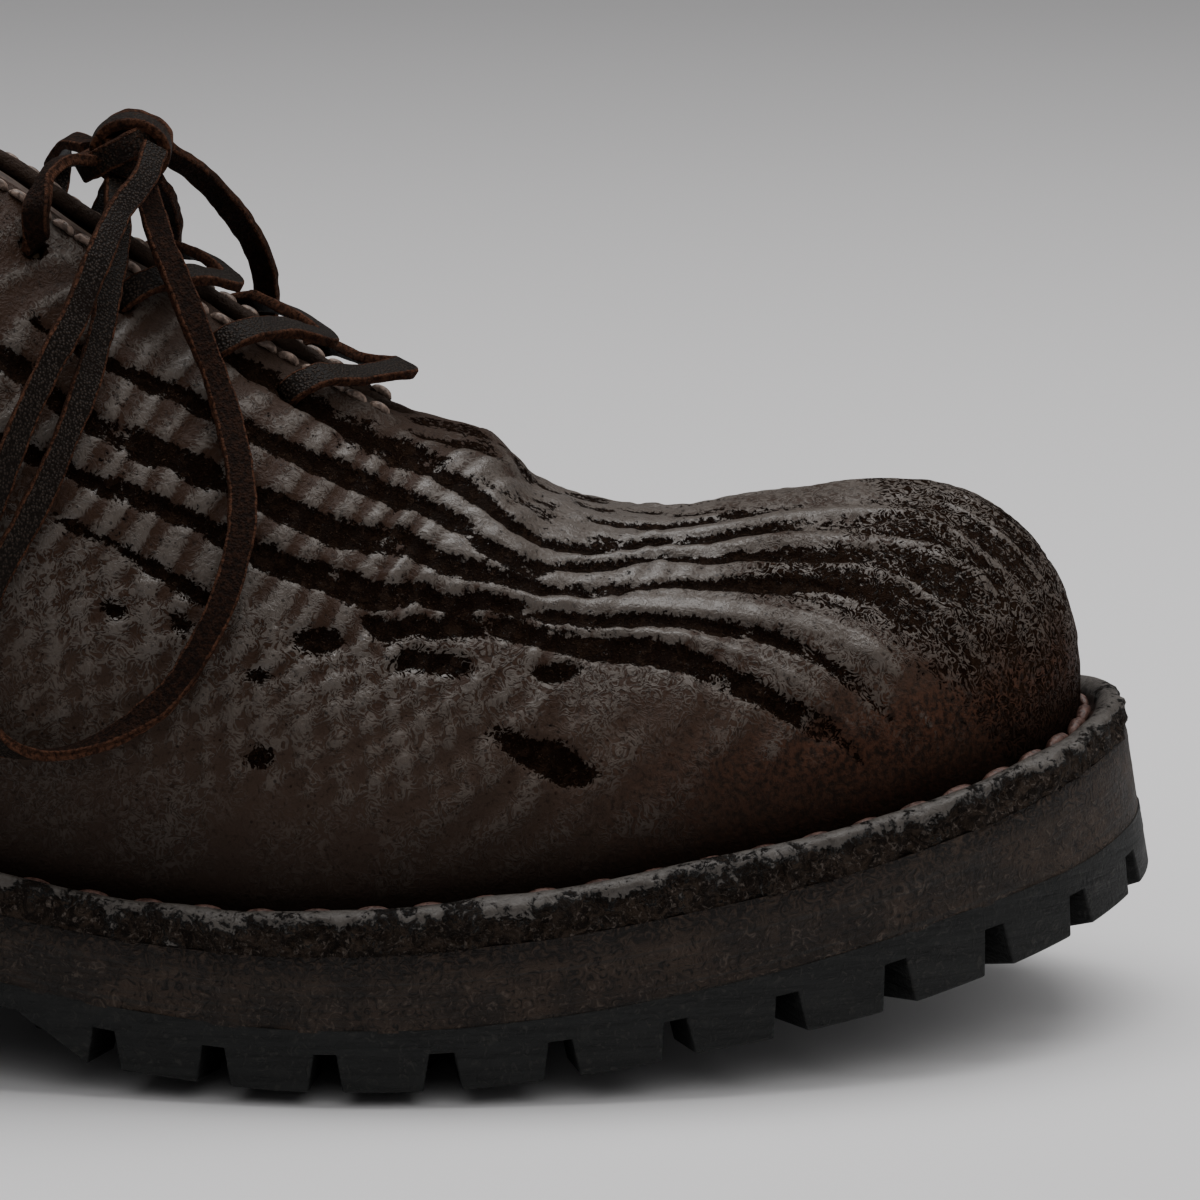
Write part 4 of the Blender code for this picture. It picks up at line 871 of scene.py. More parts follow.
hide_normal = hide.relief(wrinkle, 0.28, hide.relief(pores, 0.07))
hide_normal = hide.relief(hide.sum(film, hide.times(grey, 0.6)), 0.10, hide_normal)
hide_normal = hide.relief(hide.times(curls, 0.5), 0.09, hide_normal)
hide_normal = hide.relief(hide.times(fray, 0.5), 0.30, hide_normal)
hide_normal = hide.relief(hide.times(bare, tufts), 1.2, hide_normal)
hide_normal = hide.relief(hide.times(bare, hairs), 0.70, hide_normal)
HIDE = hide.done(
    hide_colour, hide_rough, hide_normal,
    Specular_IOR_Level=hide_shine, Coat_Weight=hide.times(hide.times(gloss, film), 0.13), Coat_Roughness=0.20,
)

# %% [markdown]
# ## The upper
# The upper is one skin pulled over the last. Its points are the sections of the last, pushed in or out
# along their normals by the relief of the marks. The eyelets are drawn into the same grid: points near an
# eyelet slide down the wall of the hole, and the few faces at its bottom are left out. A rolled rim closes
# the cut edge of collar and facings.

# %% Skin with eyelets
EYELET_S, EYELET_BACK, EYELET_RADIUS = (0.581, 0.549, 0.510, 0.475), 8.5, 2.0
HOLE_PAST, HOLE_OPEN, NEAR_TOP = 1.2, 0.85, 0.999
HEEL_COUNT, FACING_COUNT, VAMP_COUNT, RISE_COUNT = 110, 112, 188, 108
RISE_SHARES, RISE_PLACES = (0.0, 0.12, 0.90, 1.0), (0.0, 0.2, 0.88, 1.0)
RIM_ROWS = (
    # distance in from the outside, distance past the edge
    (0.00, 0.00), (0.25, 0.42), (0.80, 0.62), (1.60, 0.60), (2.15, 0.30), (2.45, -0.40), (1.90, -3.00),
)
RIM_WEAR = 0.35 * np.array([0.0] + [1.0] * (len(RIM_ROWS) - 2) + [0.0])
RIM_MARKS = {
    "cover": 1.05, "tint": 0.1, "rough": 0.0, "red": 0.0, "crackle": 0.0, "dull": 1.0, "shade_and_grime": 0.4,
}


def eyelet(side, row):
    """The place of an eyelet on its facing, and the way out of the leather there."""
    rise = rise_back(side, EYELET_S[row], EYELET_BACK)
    return section(side, EYELET_S[row], rise), section_normal(side, EYELET_S[row], rise)


skin_s = np.concatenate([
    np.linspace(0.0, FACING_TOP_S, HEEL_COUNT, endpoint=False),
    np.linspace(FACING_TOP_S, THROAT_S, FACING_COUNT, endpoint=False),
    np.linspace(THROAT_S, 1.0, VAMP_COUNT),
])
skin_rise = np.interp(np.linspace(0.0, 1.0, RISE_COUNT), RISE_SHARES, RISE_PLACES)
grid_s, grid_rise = np.meshgrid(skin_s, skin_rise, indexing="ij")
flat = {side: section(side, grid_s, grid_rise) for side in SIDES}
outs = {side: section_normal(side, grid_s, np.minimum(grid_rise, NEAR_TOP)) for side in SIDES}
shared = np.zeros(grid_s.shape, bool)
shared[0], shared[-1] = True, True
shared[skin_s >= THROAT_S, -1] = True
between_sides = unit(outs[LATERAL] + outs[MEDIAL])
skin_points, skin_faces, skin_values = [], [], {key: [] for key in RIM_MARKS}
in_collar = skin_s <= THROAT_S
for side in SIDES:
    out = np.where(shared[..., None], between_sides, outs[side])
    tall = np.linalg.norm(np.diff(flat[side], axis=1), axis=-1).sum(1)[:, None]
    relief, fields = leather_fields(side, grid_s, grid_rise, flat[side], tall)
    placed = flat[side] + out * relief[..., None]
    holes = np.zeros(grid_s.shape)
    for row in range(len(EYELET_S)):
        centre, way = eyelet(side, row)
        offset = placed - centre
        radial = offset - (offset @ way)[..., None] * way
        far = np.linalg.norm(radial, axis=-1)
        inside = far < EYELET_RADIUS
        deep = (1.0 - far / EYELET_RADIUS) * (WALL + HOLE_PAST)
        drawn = centre + radial / np.maximum(far, 1e-6)[..., None] * EYELET_RADIUS - deep[..., None] * way
        placed = np.where(inside[..., None], drawn, placed)
        holes = np.where(inside, np.maximum(holes, deep), holes)
    start = sum(len(part) for part in skin_points)
    quads = grid_faces(*grid_s.shape, start=start, flip=side == MEDIAL)
    bottom = (holes.ravel()[quads - start] > WALL * HOLE_OPEN).all(axis=1)
    skin_points.append(placed.reshape(-1, 3))
    skin_faces.append(quads[~bottom])
    fields["cover"] = np.where(holes > 0.0, 0.0, fields["cover"])
    for key, field in fields.items():
        skin_values[key].append(field.ravel())
    edge, edge_out = placed[in_collar, -1], out[in_collar, -1]
    onward = unit(flat[side][in_collar, -1] - flat[side][in_collar, -2])
    rim = np.stack([edge - edge_out * a + onward * b for a, b in RIM_ROWS], axis=1)
    rim = rim + onward[:, None] * (RIM_WEAR * lump("rim", rim))[..., None]
    start = sum(len(part) for part in skin_points)
    skin_points.append(rim.reshape(-1, 3))
    skin_faces.append(grid_faces(*rim.shape[:2], start=start, flip=side == MEDIAL))
    for key, rim_mark in RIM_MARKS.items():
        skin_values[key].append(np.full(rim.shape[0] * rim.shape[1], rim_mark))
make_piece(
    "upper_skin", np.concatenate(skin_points), np.concatenate(skin_faces), HIDE, "upper",
    {key: np.concatenate(parts) for key, parts in skin_values.items()}, weld=0.03,
)

# %% [markdown]
# ## Lining, insole and tongue
# Inside, the shoe is lined with a plain tan leather that shows at the collar and on the insole. The lining
# is the same last drawn in by the wall's thickness. The tongue is a soft sheet under the facings; it is a
# coarse grid, subdivided until it is smooth and then given its thickness.

# %% Lining leather
LINING_DARK, LINING_LIGHT = (0.075, 0.045, 0.027), (0.13, 0.084, 0.052)
LINING_LONG_COUNT, LINING_RISE_COUNT, LINING_TOP, LINING_OVER = 150, 30, 0.985, 0.05

calf = Finish("lining leather")
calf_tone = calf.noise(90.0, 4.0)
calf_pores = calf.cells(1500.0)
calf_colour = calf.blend(calf.between(calf_tone, 0.3, 0.7), LINING_DARK, LINING_LIGHT)
LINING = calf.done(
    calf_colour, calf.between(calf_tone, 0.3, 0.7, 0.5, 0.65), calf.relief(calf_pores, 0.06),
)
lining_s = np.linspace(0.0, 1.0, LINING_LONG_COUNT)
lining_grid = np.meshgrid(lining_s, np.linspace(0.0, LINING_TOP, LINING_RISE_COUNT), indexing="ij")
lining_points, lining_faces = [], []
for side in SIDES:
    inner = section(side, *lining_grid) - (WALL - LINING_OVER) * section_normal(side, *lining_grid)
    start = sum(len(part) for part in lining_points)
    lining_faces.append(grid_faces(*inner.shape[:2], start=start, flip=side == LATERAL))
    lining_points.append(inner.reshape(-1, 3))
make_piece(
    "lining", np.concatenate(lining_points), np.concatenate(lining_faces), LINING, None,
    weld=0.05,
)

# %% Layers of the sole
SOLE_COUNT, INSOLE_COUNT, INSOLE_WALL_COUNT = 300, 120, 8
END_SHARE = 0.6
INSOLE_HIGH, INSOLE_ROUND = 3.6, 0.8


def layer_ring(stations, insets, depths):
    """Closed rings round a layer: the outer wall from top to bottom, then the inner wall back up."""
    walls = [sole_point(side, stations[:, None], insets, depths) for side in SIDES]
    return np.concatenate([walls[0], walls[1][:, ::-1]], axis=1)


def layer_stations(count):
    """Shares of a side with more of them round the heel and the toe, where the edge turns."""
    even = np.linspace(0.0, 1.0, count)
    return END_SHARE * (1.0 - np.cos(math.pi * even)) / 2.0 + (1.0 - END_SHARE) * even


insole_s = layer_stations(INSOLE_COUNT)
insole_up = np.linspace(1.0, 0.0, INSOLE_WALL_COUNT)
insole_inset = WALL + 2.0 * GAP + INSOLE_ROUND * (1.0 - np.sqrt(1.0 - insole_up**4))
insole_ring = layer_ring(
    insole_s, feather_inset(insole_s)[:, None] + insole_inset, MIDSOLE_TOP - GAP - INSOLE_HIGH * insole_up,
)
make_piece(
    "insole_leather", insole_ring.reshape(-1, 3), grid_faces(*insole_ring.shape[:2], wrap=True), LINING,
    "insole", weld=0.02, tidy=True,
)

# %% Tongue
TONGUE_FROM_S, TONGUE_TO_S, TONGUE_SECTIONS = 0.447, 0.664, 14
TONGUE_BACK, TONGUE_GAP, TONGUE_WALL = (19.0, 12.0, 6.0, 1.0), 1.0, 2.2
TONGUE_TOP = (
    # reach past the facing, narrowing, sinking
    (8.0, 2.5, 2.6), (8.0, 4.0, 0.6),
)


def tongue_row(s):
    """One row across the tongue: the inside of both facings, joined over the middle."""
    halves = []
    for side in SIDES:
        shares = np.array([rise_back(side, s, back) for back in TONGUE_BACK])
        under = WALL + TONGUE_GAP
        halves.append(section(side, s, shares) - under * section_normal(side, s, shares))
    left, right = halves
    slope = (left[-1, 2] - left[-2, 2]) / (left[-1, 1] - left[-2, 1])
    middle = (left[-1] + right[-1]) / 2.0
    middle[2] += slope * (right[-1, 1] - left[-1, 1]) / 4.0
    return np.vstack([left, middle[None], right[::-1]])


tongue_rows = [tongue_row(s) for s in np.linspace(TONGUE_FROM_S, TONGUE_TO_S, TONGUE_SECTIONS)]
run = unit(tongue_rows[0] - tongue_rows[1])
narrower = np.linspace(-1.0, 1.0, run.shape[0])[:, None] * np.array([[0.0, 1.0, 0.0]])
for reach, narrow, sink in TONGUE_TOP:
    tongue_rows.insert(0, tongue_rows[0] + run * reach - narrower * narrow - np.array((0.0, 0.0, sink)))
tongue_grid = np.array(tongue_rows)

TONGUE_DARK = (0.016, 0.012, 0.010)
soft_hide = Finish("tongue leather")
tongue_tone = soft_hide.noise(140.0, 4.0)
tongue_grain = soft_hide.cells(900.0)
TONGUE = soft_hide.done(
    soft_hide.blend(soft_hide.between(tongue_tone, 0.35, 0.65), PALE_NAP_AND_SPARKLE, TONGUE_DARK),
    soft_hide.between(tongue_tone, 0.3, 0.7, 0.5, 0.7), soft_hide.relief(tongue_grain, 0.12),
)
tongue = make_piece(
    "tongue_leather", tongue_grid.reshape(-1, 3), grid_faces(*tongue_grid.shape[:2]), TONGUE, "tongue",
)
rounding = tongue.modifiers.new("round", "SUBSURF")
rounding.levels = rounding.render_levels = 2
wall = tongue.modifiers.new("wall", "SOLIDIFY")
wall.thickness, wall.offset = TONGUE_WALL * MM, -1.0

# %% [markdown]
# ## The welt
# The welt is a strip of thick leather sewn round the upper. Its inner side is a low channel with the
# stitches, its top a smooth rounded lip, and its outer wall is left raw, so it is furry with nap. One
# profile is carried round the shoe, and noise pushes the raw wall in and out.

# %% Welt strip
WELT_COUNT, WELT_AROUND, WELT_WIDE = 560, 34, 8.0
# Where the wall is furry and where it is bare of film: spans of soft steps up the profile and across it
FURRY_UP, FURRY_ACROSS, BARE_UP, BARE_ACROSS = (5.3, 4.2), (0.20, 0.05), (5.9, 2.2), (0.36, 0.06)
CHANNEL_ACROSS, FOOT_HELD = (0.50, 0.62), (0.0, 0.5)
BRISTLE_HIGH, TUFT_HIGH, FUR_SINK, DENT_HIGH = 0.70, 0.60, 0.15, 0.22
WELT_ROWS = (
    # share of the width, height over the midsole
    (0.00, GAP), (0.00, 2.4), (0.00, 4.3), (0.13, 5.4), (0.30, 5.7), (0.46, 5.1), (0.58, 3.3),
    (0.84, 2.6), (1.00, GAP),
)


def route(points, count):
    """A smooth line through a few points, as count points equally far apart."""
    points = np.asarray(points, float)
    knots = lengths(points)
    turns = np.gradient(points, knots, axis=0)
    line = spline(points, turns, knots, CURVE_SHARES)
    long = lengths(line)
    even = np.linspace(0.0, long[-1], count)
    return np.stack([np.interp(even, long, line[:, k]) for k in range(points.shape[1])], axis=-1)


def surface_normals(grid, outward):
    """Unit normals of a grid of points, turned to the side that outward points to."""
    normal = unit(np.cross(np.gradient(grid, axis=0), np.gradient(grid, axis=1)) + 1e-12)
    return normal * np.sign((normal * outward).sum(-1, keepdims=True))


welt_profile = route(np.array(WELT_ROWS) * (WELT_WIDE, 1.0), WELT_AROUND) / (WELT_WIDE, 1.0)
welt_share = np.clip(welt_profile[:, 0], 0.0, 1.0)
welt_s = layer_stations(WELT_COUNT)
welt_sides = []
for side in SIDES:
    inset = welt_share[None, :] * (feather_inset(welt_s)[:, None] - GAP)
    welt_sides.append(sole_point(side, welt_s[:, None], inset, MIDSOLE_TOP - welt_profile[None, :, 1]))
welt_grid = np.concatenate([welt_sides[0], welt_sides[1][-2:0:-1]])
welt_middle = welt_grid.mean(axis=1, keepdims=True)
welt_out = surface_normals(welt_grid, welt_grid - welt_middle)
welt_up = welt_profile[:, 1]
furry_wall = step(*FURRY_UP, welt_up) * step(*FURRY_ACROSS, welt_share)
bare_wall = step(*BARE_UP, welt_up) * step(*BARE_ACROSS, welt_share)
channel = step(*CHANNEL_ACROSS, welt_share)
fur = BRISTLE_HIGH * lump("bristles", welt_grid) + TUFT_HIGH * lump("tufts", welt_grid) - FUR_SINK
dents = DENT_HIGH * lump("dents", welt_grid)
welt_push = welt_out * (furry_wall[None] * fur + (1.0 - channel[None]) * dents)[..., None]
welt_push[..., 2] *= step(*FOOT_HELD, welt_up - GAP)[None]
welt_points = welt_grid + welt_push
print("welt strip of", welt_points.shape[0], "sections")

# %% Welt leather
# LIP_FILM_AND_SHEEN is the grey of the lip's waxed film, made light so that it also stands for a painted
# sheen on the rounded edge.
LIP_DARK, LIP_FILM_AND_SHEEN = (0.017, 0.0124, 0.0095), (0.056, 0.0480, 0.0415)
FUR_DARK, FUR_BROWN = (0.0080, 0.0048, 0.0031), (0.036, 0.0240, 0.0165)
FUR_LIGHT = (0.105, 0.084, 0.070)
CHANNEL_DARK, CHANNEL_LIGHT = (0.013, 0.0055, 0.0035), (0.045, 0.018, 0.011)

welt_hide = Finish("welt leather")
bristle = welt_hide.noise(1300.0, 4.0, 0.65, twist=1.0)
tuft = welt_hide.noise(430.0, 4.0, 0.65, twist=1.4)
blotch = welt_hide.noise(170.0, 4.0, 0.6)
lip_wear = welt_hide.sum(welt_hide.times(bristle, 0.5), welt_hide.times(tuft, 0.7))
lip_wear = welt_hide.sum(lip_wear, welt_hide.times(blotch, 0.8))
lip_film = welt_hide.sum(welt_hide.times(welt_hide.value("raw"), -0.28), lip_wear)
lip_film = welt_hide.between(lip_film, 0.78, 0.96)
# The lip's light tone is partly its waxed film and partly a painted sheen on its rounded top.
lip_sheen_tone = welt_hide.blend(welt_hide.between(lip_wear, 0.86, 1.12), LIP_DARK, LIP_FILM_AND_SHEEN)
fur_tone = welt_hide.blend(welt_hide.between(tuft, 0.42, 0.62), FUR_DARK, FUR_BROWN)
fur_tone = welt_hide.blend(welt_hide.between(bristle, 0.53, 0.68), fur_tone, FUR_LIGHT)
channel_tone = welt_hide.blend(welt_hide.between(bristle, 0.4, 0.6), CHANNEL_DARK, CHANNEL_LIGHT)
welt_colour = welt_hide.blend(lip_film, fur_tone, lip_sheen_tone)
welt_colour = welt_hide.blend(welt_hide.value("channel"), welt_colour, channel_tone)
lip_rough = welt_hide.between(bristle, 0.3, 0.7, 0.40, 0.58)
welt_rough = welt_hide.node("ShaderNodeMix", {0: lip_film, 2: 0.82, 3: lip_rough})
shaggy = welt_hide.between(lip_film, 0.0, 1.0, 1.0, 0.15)
welt_bump = welt_hide.relief(welt_hide.times(tuft, shaggy), 1.8, welt_hide.relief(lip_film, 0.20))
welt_bump = welt_hide.relief(welt_hide.times(bristle, shaggy), 0.9, welt_bump)
welt_shine = welt_hide.between(lip_film, 0.0, 1.0, 0.15, 0.40)
WELT = welt_hide.done(welt_colour, welt_rough, welt_bump, Specular_IOR_Level=welt_shine)
welt_faces = grid_faces(*welt_points.shape[:2], wrap=True, closed=True)
make_piece(
    "welt_leather", welt_points.reshape(-1, 3), welt_faces, WELT, "welt",
    {"raw": np.broadcast_to(bare_wall, welt_points.shape[:2]),
     "channel": np.broadcast_to(channel, welt_points.shape[:2])}, tidy=True,
)

# %% [markdown]
# ## Midsole and heel
# The midsole is a thick leather layer whose edge was cut and sanded, so it carries long fine lines, and
# its top is napped where it meets the welt; the heel is a stack of the same leather. Both are closed rings
# carried along the shoe. A value for the distance down the wall lets the cut lines follow the edge as it
# springs at the toe.

# %% Cut leather edge
CUT_DARK, CUT_LIGHT = (0.0108, 0.0066, 0.0042), (0.033, 0.0208, 0.0138)
CUT_GREY = (0.0150, 0.0145, 0.0136)
CUT_PIT, CUT_FIBRE = (0.0050, 0.0032, 0.0023), (0.068, 0.050, 0.039)

cut = Finish("cut leather edge")
cut_place = cut.joined(cut.times(cut.value("along"), 0.012), cut.times(cut.value("height"), 1.0))
cut_streak = cut.noise(1.6, 4.0, 0.6, cut_place)
cut_blotch = cut.noise(120.0, 4.0, 0.62)
cut_curl = cut.noise(640.0, 3.0, 0.6, twist=2.2)
cut_tone = cut.sum(cut.times(cut_streak, 0.25), cut.times(cut_blotch, 0.75))
cut_colour = cut.blend(cut.between(cut_tone, 0.40, 0.60), CUT_DARK, CUT_LIGHT)
cut_colour = cut.blend(cut.between(cut_streak, 0.64, 0.50, 0.35, 1.0), CUT_GREY, cut_colour)
cut_colour = cut.blend(cut.between(cut_curl, 0.55, 0.68, 0.0, 0.65), cut_colour, CUT_FIBRE)
cut_colour = cut.blend(cut.between(cut_curl, 0.47, 0.35), cut_colour, CUT_PIT)
nap_share = cut.sum(cut.value("napped"), cut.times(cut.sum(cut_curl, -0.5), 1.6))
nap_share = cut.between(nap_share, 0.35, 0.75)
nap_tone = cut.blend(cut.between(cut_curl, 0.42, 0.66), CUT_PIT, CUT_LIGHT)
cut_colour = cut.blend(nap_share, cut_colour, nap_tone)
cut_normal = cut.relief(cut_streak, 0.30, cut.relief(cut_curl, 0.75))
cut_rough = cut.between(cut_tone, 0.3, 0.7, 0.55, 0.72)
CUT_EDGE = cut.done(cut_colour, cut_rough, cut_normal, Specular_IOR_Level=0.3)

# %% Midsole
NAP_REACH, FAR_SIDE = 5.0, 900.0
WALL_FROM, WALL_TO, WALL_COUNT, ROUND_FROM = -0.03, 1.07, 17, 0.75
MIDSOLE_INSET, MIDSOLE_ROUND = 0.15, 0.15
FLAT_WAYS, TINY = np.array((1.0, 1.0, 0.0)), 1e-9


def wall_ways(ring):
    """Level unit vectors from the middle of each ring to its points."""
    return unit((ring - ring.mean(axis=1, keepdims=True)) * FLAT_WAYS + TINY)


def wall_values(stations, shares, high, napped=0.0):
    """For each point of the rings, the distance along the edge and down the wall, and how napped it is."""
    shape = len(stations), len(shares)
    along = [np.broadcast_to(stations[:, None] * EDGE_LONG[side], shape) for side in SIDES]
    down = np.broadcast_to(shares[None] * high, shape)
    height = np.concatenate([down, down[:, ::-1]], axis=1)
    return {
        "along": np.concatenate([along[0], along[1] + FAR_SIDE], axis=1),
        "height": height,
        "napped": napped * step(NAP_REACH, 0.0, height),
    }


sole_s = layer_stations(SOLE_COUNT)
wall_share = np.linspace(WALL_FROM, WALL_TO, WALL_COUNT)
wall_inset = MIDSOLE_INSET + MIDSOLE_ROUND * np.abs(2.0 * np.minimum(wall_share, ROUND_FROM) - 1.0) ** 6
mid_ring = layer_ring(sole_s, wall_inset, MIDSOLE_TOP + MIDSOLE_HIGH * wall_share)
mid_wear = 0.16 * lump("cut waves", mid_ring) + 0.10 * lump("cut nicks", mid_ring)
mid_ring = mid_ring + wall_ways(mid_ring) * mid_wear[..., None]

midsole = make_piece(
    "midsole_edge", mid_ring.reshape(-1, 3), grid_faces(*mid_ring.shape[:2], wrap=True), CUT_EDGE, "midsole",
    wall_values(sole_s, wall_share, MIDSOLE_HIGH, 1.0), tidy=True,
)
crease_edges(midsole, 50.0)

# %% Heel stack
HEEL_BREAST_X, HEEL_LIFT_HIGH, HEEL_TAPER = 88.0, 9.0, 1.5
HEEL_NOTCH_WIDE, HEEL_NOTCH_HIGH, HEEL_NOTCH_DEEP = 3.2, 4.6, 12.5
HEEL_NOTCH_S = (0.07, 0.13, 0.19, 0.25)
STACK_INSET, STACK_HIGH, STACK_LIFT_HIGH, STACK_GROOVE = 0.4, 19.0, 3.8, 0.16
STACK_COUNT, STACK_WALL_COUNT, STACK_CROWDING = 150, 24, 1.15


def heel_ring(shares, wall, top, bottom, taper, notches=()):
    """Rings of a heel layer from its back to its breast, with notches pressed into the lower wall."""
    walls = []
    for side in SIDES:
        s = shares[:, None] * s_at(side, HEEL_BREAST_X)
        inset = taper[0] + (taper[1] - taper[0]) * wall[None, :] + 0.0 * s
        for notch in notches:
            off = np.abs(s - notch) * EDGE_LONG[side]
            low = (1.0 - wall[None, :]) * HEEL_LIFT_HIGH < HEEL_NOTCH_HIGH
            inset = np.where((off < HEEL_NOTCH_WIDE / 2.0) & low, HEEL_NOTCH_DEEP, inset)
        flat_xy = edge_point(side, s, inset)
        high = top(flat_xy[..., 0])
        z = high + (bottom - high) * wall[None, :]
        walls.append(np.stack([flat_xy[..., 0], flat_xy[..., 1], z], axis=-1))
    return np.concatenate([walls[0], walls[1][:, ::-1]], axis=1)


def heel_faces(ring):
    """Quads round the heel, with one face for its breast."""
    rows, columns = ring.shape[:2]
    quads = grid_faces(rows, columns, wrap=True).tolist()
    return quads + [list(range((rows - 1) * columns, rows * columns))]


heel_shares = np.linspace(0.0, 1.0, STACK_COUNT) ** STACK_CROWDING
stack_wall = np.linspace(0.0, 1.0, STACK_WALL_COUNT)
stack = heel_ring(
    heel_shares, stack_wall, lambda x: layer_height(x, BASE_BOTTOM + GAP), HEEL_LIFT_HIGH + GAP,
    (STACK_INSET, HEEL_TAPER),
)
grooves = STACK_GROOVE * np.cos(stack_wall * STACK_HIGH / STACK_LIFT_HIGH * 2.0 * math.pi) ** 8
grooves = np.concatenate([grooves, grooves[::-1]])
stack = stack - unit(stack - stack.mean(axis=1, keepdims=True)) * grooves[None, :, None]
heel_stack = make_piece(
    "heel_leather", stack.reshape(-1, 3), heel_faces(stack), CUT_EDGE, "heel_stack",
    wall_values(heel_shares, stack_wall, STACK_HIGH), weld=0.01, tidy=True,
)
crease_edges(heel_stack, 50.0)

# %% [markdown]
# ## Rubber
# The outsole and the heel lift are black rubber that was sawn to shape, so the edge shows long saw lines
# and a little grey dust. The lugs round the forepart are short blocks with tapered notches between them;
# each is a grid of a few rings, softened by a small bevel.

# %% Sawn rubber
RUBBER_DARK, RUBBER_LIGHT = (0.0042, 0.0046, 0.0044), (0.0110, 0.0116, 0.0112)
DUST_GREY, DUST_TAN = (0.025, 0.0240, 0.021), (0.085, 0.066, 0.048)

rubber = Finish("sawn rubber")
saw = rubber.noise(75.0, 5.0, 0.6, rubber.stretched(1.0, 1.0, 14.0))
dust = rubber.noise(210.0, 4.0, 0.6)
scratch = rubber.noise(600.0, 3.0, 0.6, twist=2.2)
fleck = rubber.noise(2300.0, 2.0)
rubber_colour = rubber.blend(rubber.between(saw, 0.40, 0.62), RUBBER_DARK, RUBBER_LIGHT)
rubber_colour = rubber.blend(rubber.between(dust, 0.60, 0.80, 0.0, 0.5), rubber_colour, DUST_GREY)
rubber_colour = rubber.blend(rubber.between(scratch, 0.55, 0.68, 0.0, 0.7), rubber_colour, DUST_GREY)
rubber_colour = rubber.blend(rubber.between(fleck, 0.74, 0.80), rubber_colour, DUST_TAN)
rubber_normal = rubber.relief(saw, 0.34, rubber.relief(scratch, 0.34))
rubber_rough = rubber.between(saw, 0.3, 0.7, 0.52, 0.70)
RUBBER = rubber.done(rubber_colour, rubber_rough, rubber_normal, Specular_IOR_Level=0.26)

# %% Heel lift
LIFT_COUNT, LIFT_TAPER = 420, (HEEL_TAPER - 0.3, HEEL_TAPER + 0.5)
LIFT_WALL = np.array((0.0, 0.06, 0.25, 0.47, 0.49, 0.62, 0.80, 0.95, 1.0))

lift_shares = np.linspace(0.0, 1.0, LIFT_COUNT)
lift = heel_ring(
    lift_shares, LIFT_WALL, lambda x: np.full_like(x, HEEL_LIFT_HIGH), 0.0, LIFT_TAPER, HEEL_NOTCH_S,
)
heel_lift = make_piece(
    "heel_rubber", lift.reshape(-1, 3), heel_faces(lift), RUBBER, "heel_lift",
    weld=0.01, tidy=True,
)
crease_edges(heel_lift, 35.0)

# %% Outsole plate
BASE_COUNT, BASE_WEAR = 8, 0.08

base_wall = np.linspace(0.0, 1.0, BASE_COUNT)
base_ring = layer_ring(sole_s, 0.0 * base_wall, BASE_TOP + BASE_HIGH * base_wall)
base_wear = BASE_WEAR * (1.0 + lump("saw marks", base_ring))
base_ring = base_ring - wall_ways(base_ring) * base_wear[..., None]
outsole = make_piece(
    "outsole_plate", base_ring.reshape(-1, 3), grid_faces(*base_ring.shape[:2], wrap=True), RUBBER, "outsole",
    tidy=True,
)
crease_edges(outsole, 40.0)

# %% Shapes of the lugs
LUG_SINK, LUG_START_X, LUG_PITCH = 1.2, 156.6, 15.7
LUG_NOTCH, LUG_TAPER, LUG_DEEP, WAIST_LUG, CROWN = 2.6, 1.1, 15.0, 13.5, 2.3
CENTRE_GAP, CENTRE_LONG, CENTRE_WIDE, CENTRE_FIRST_X, CENTRE_LAST_X = 4.5, 11.5, 22.0, 150.0, 284.0
FLAT_FROM_X, FLAT_TO_X = 168.0, 214.0
LUG_STEPS, LUG_ROOT_IN, LUG_FOOT_IN, LUG_INNER_TAPER, LUG_TEAR = 6, 0.05, 0.3, 1.0, 0.35
LUG_BEVEL, LUG_BEVEL_ANGLE, WAIST_LEFT = 0.28, 35.0, 0.4
TOE_LUG_ROWS = (
    # x, extra height of the lugs toward the toe
    (0.0, 0.0), (235.0, 0.0), (275.0, 1.4), (310.0, 1.8),
)
LUG_FIRST = s_at(LATERAL, LUG_START_X) * EDGE_LONG[LATERAL]
LUG_LAST = s_at(MEDIAL, LUG_START_X) * EDGE_LONG[MEDIAL]
FOREPART_LONG = EDGE_LONG[LATERAL] - LUG_FIRST + EDGE_LONG[MEDIAL] - LUG_LAST


def tread_height(x):
    """Height of the bottom of the inner lugs: on the floor under the ball, then up with the toe."""
    low = layer_height(x, LUG_BOTTOM) - CROWN - smooth(TOE_LUG_ROWS, 1, x)
    return np.where((x > FLAT_FROM_X) & (x < FLAT_TO_X), 0.0, np.clip(low, 0.0, None))


def forepart(along, inset, depth):
    """Points along the forepart's edge, from the outer waist round the toe to the inner waist."""
    reach = LUG_FIRST + along
    over = reach > EDGE_LONG[LATERAL]
    near = sole_point(LATERAL, np.where(over, 1.0, reach / EDGE_LONG[LATERAL]), inset, depth)
    back = (EDGE_LONG[LATERAL] + EDGE_LONG[MEDIAL] - reach) / EDGE_LONG[MEDIAL]
    far = sole_point(MEDIAL, np.where(over, back, 1.0), inset, depth)
    return np.where(over[:, None], far, near)


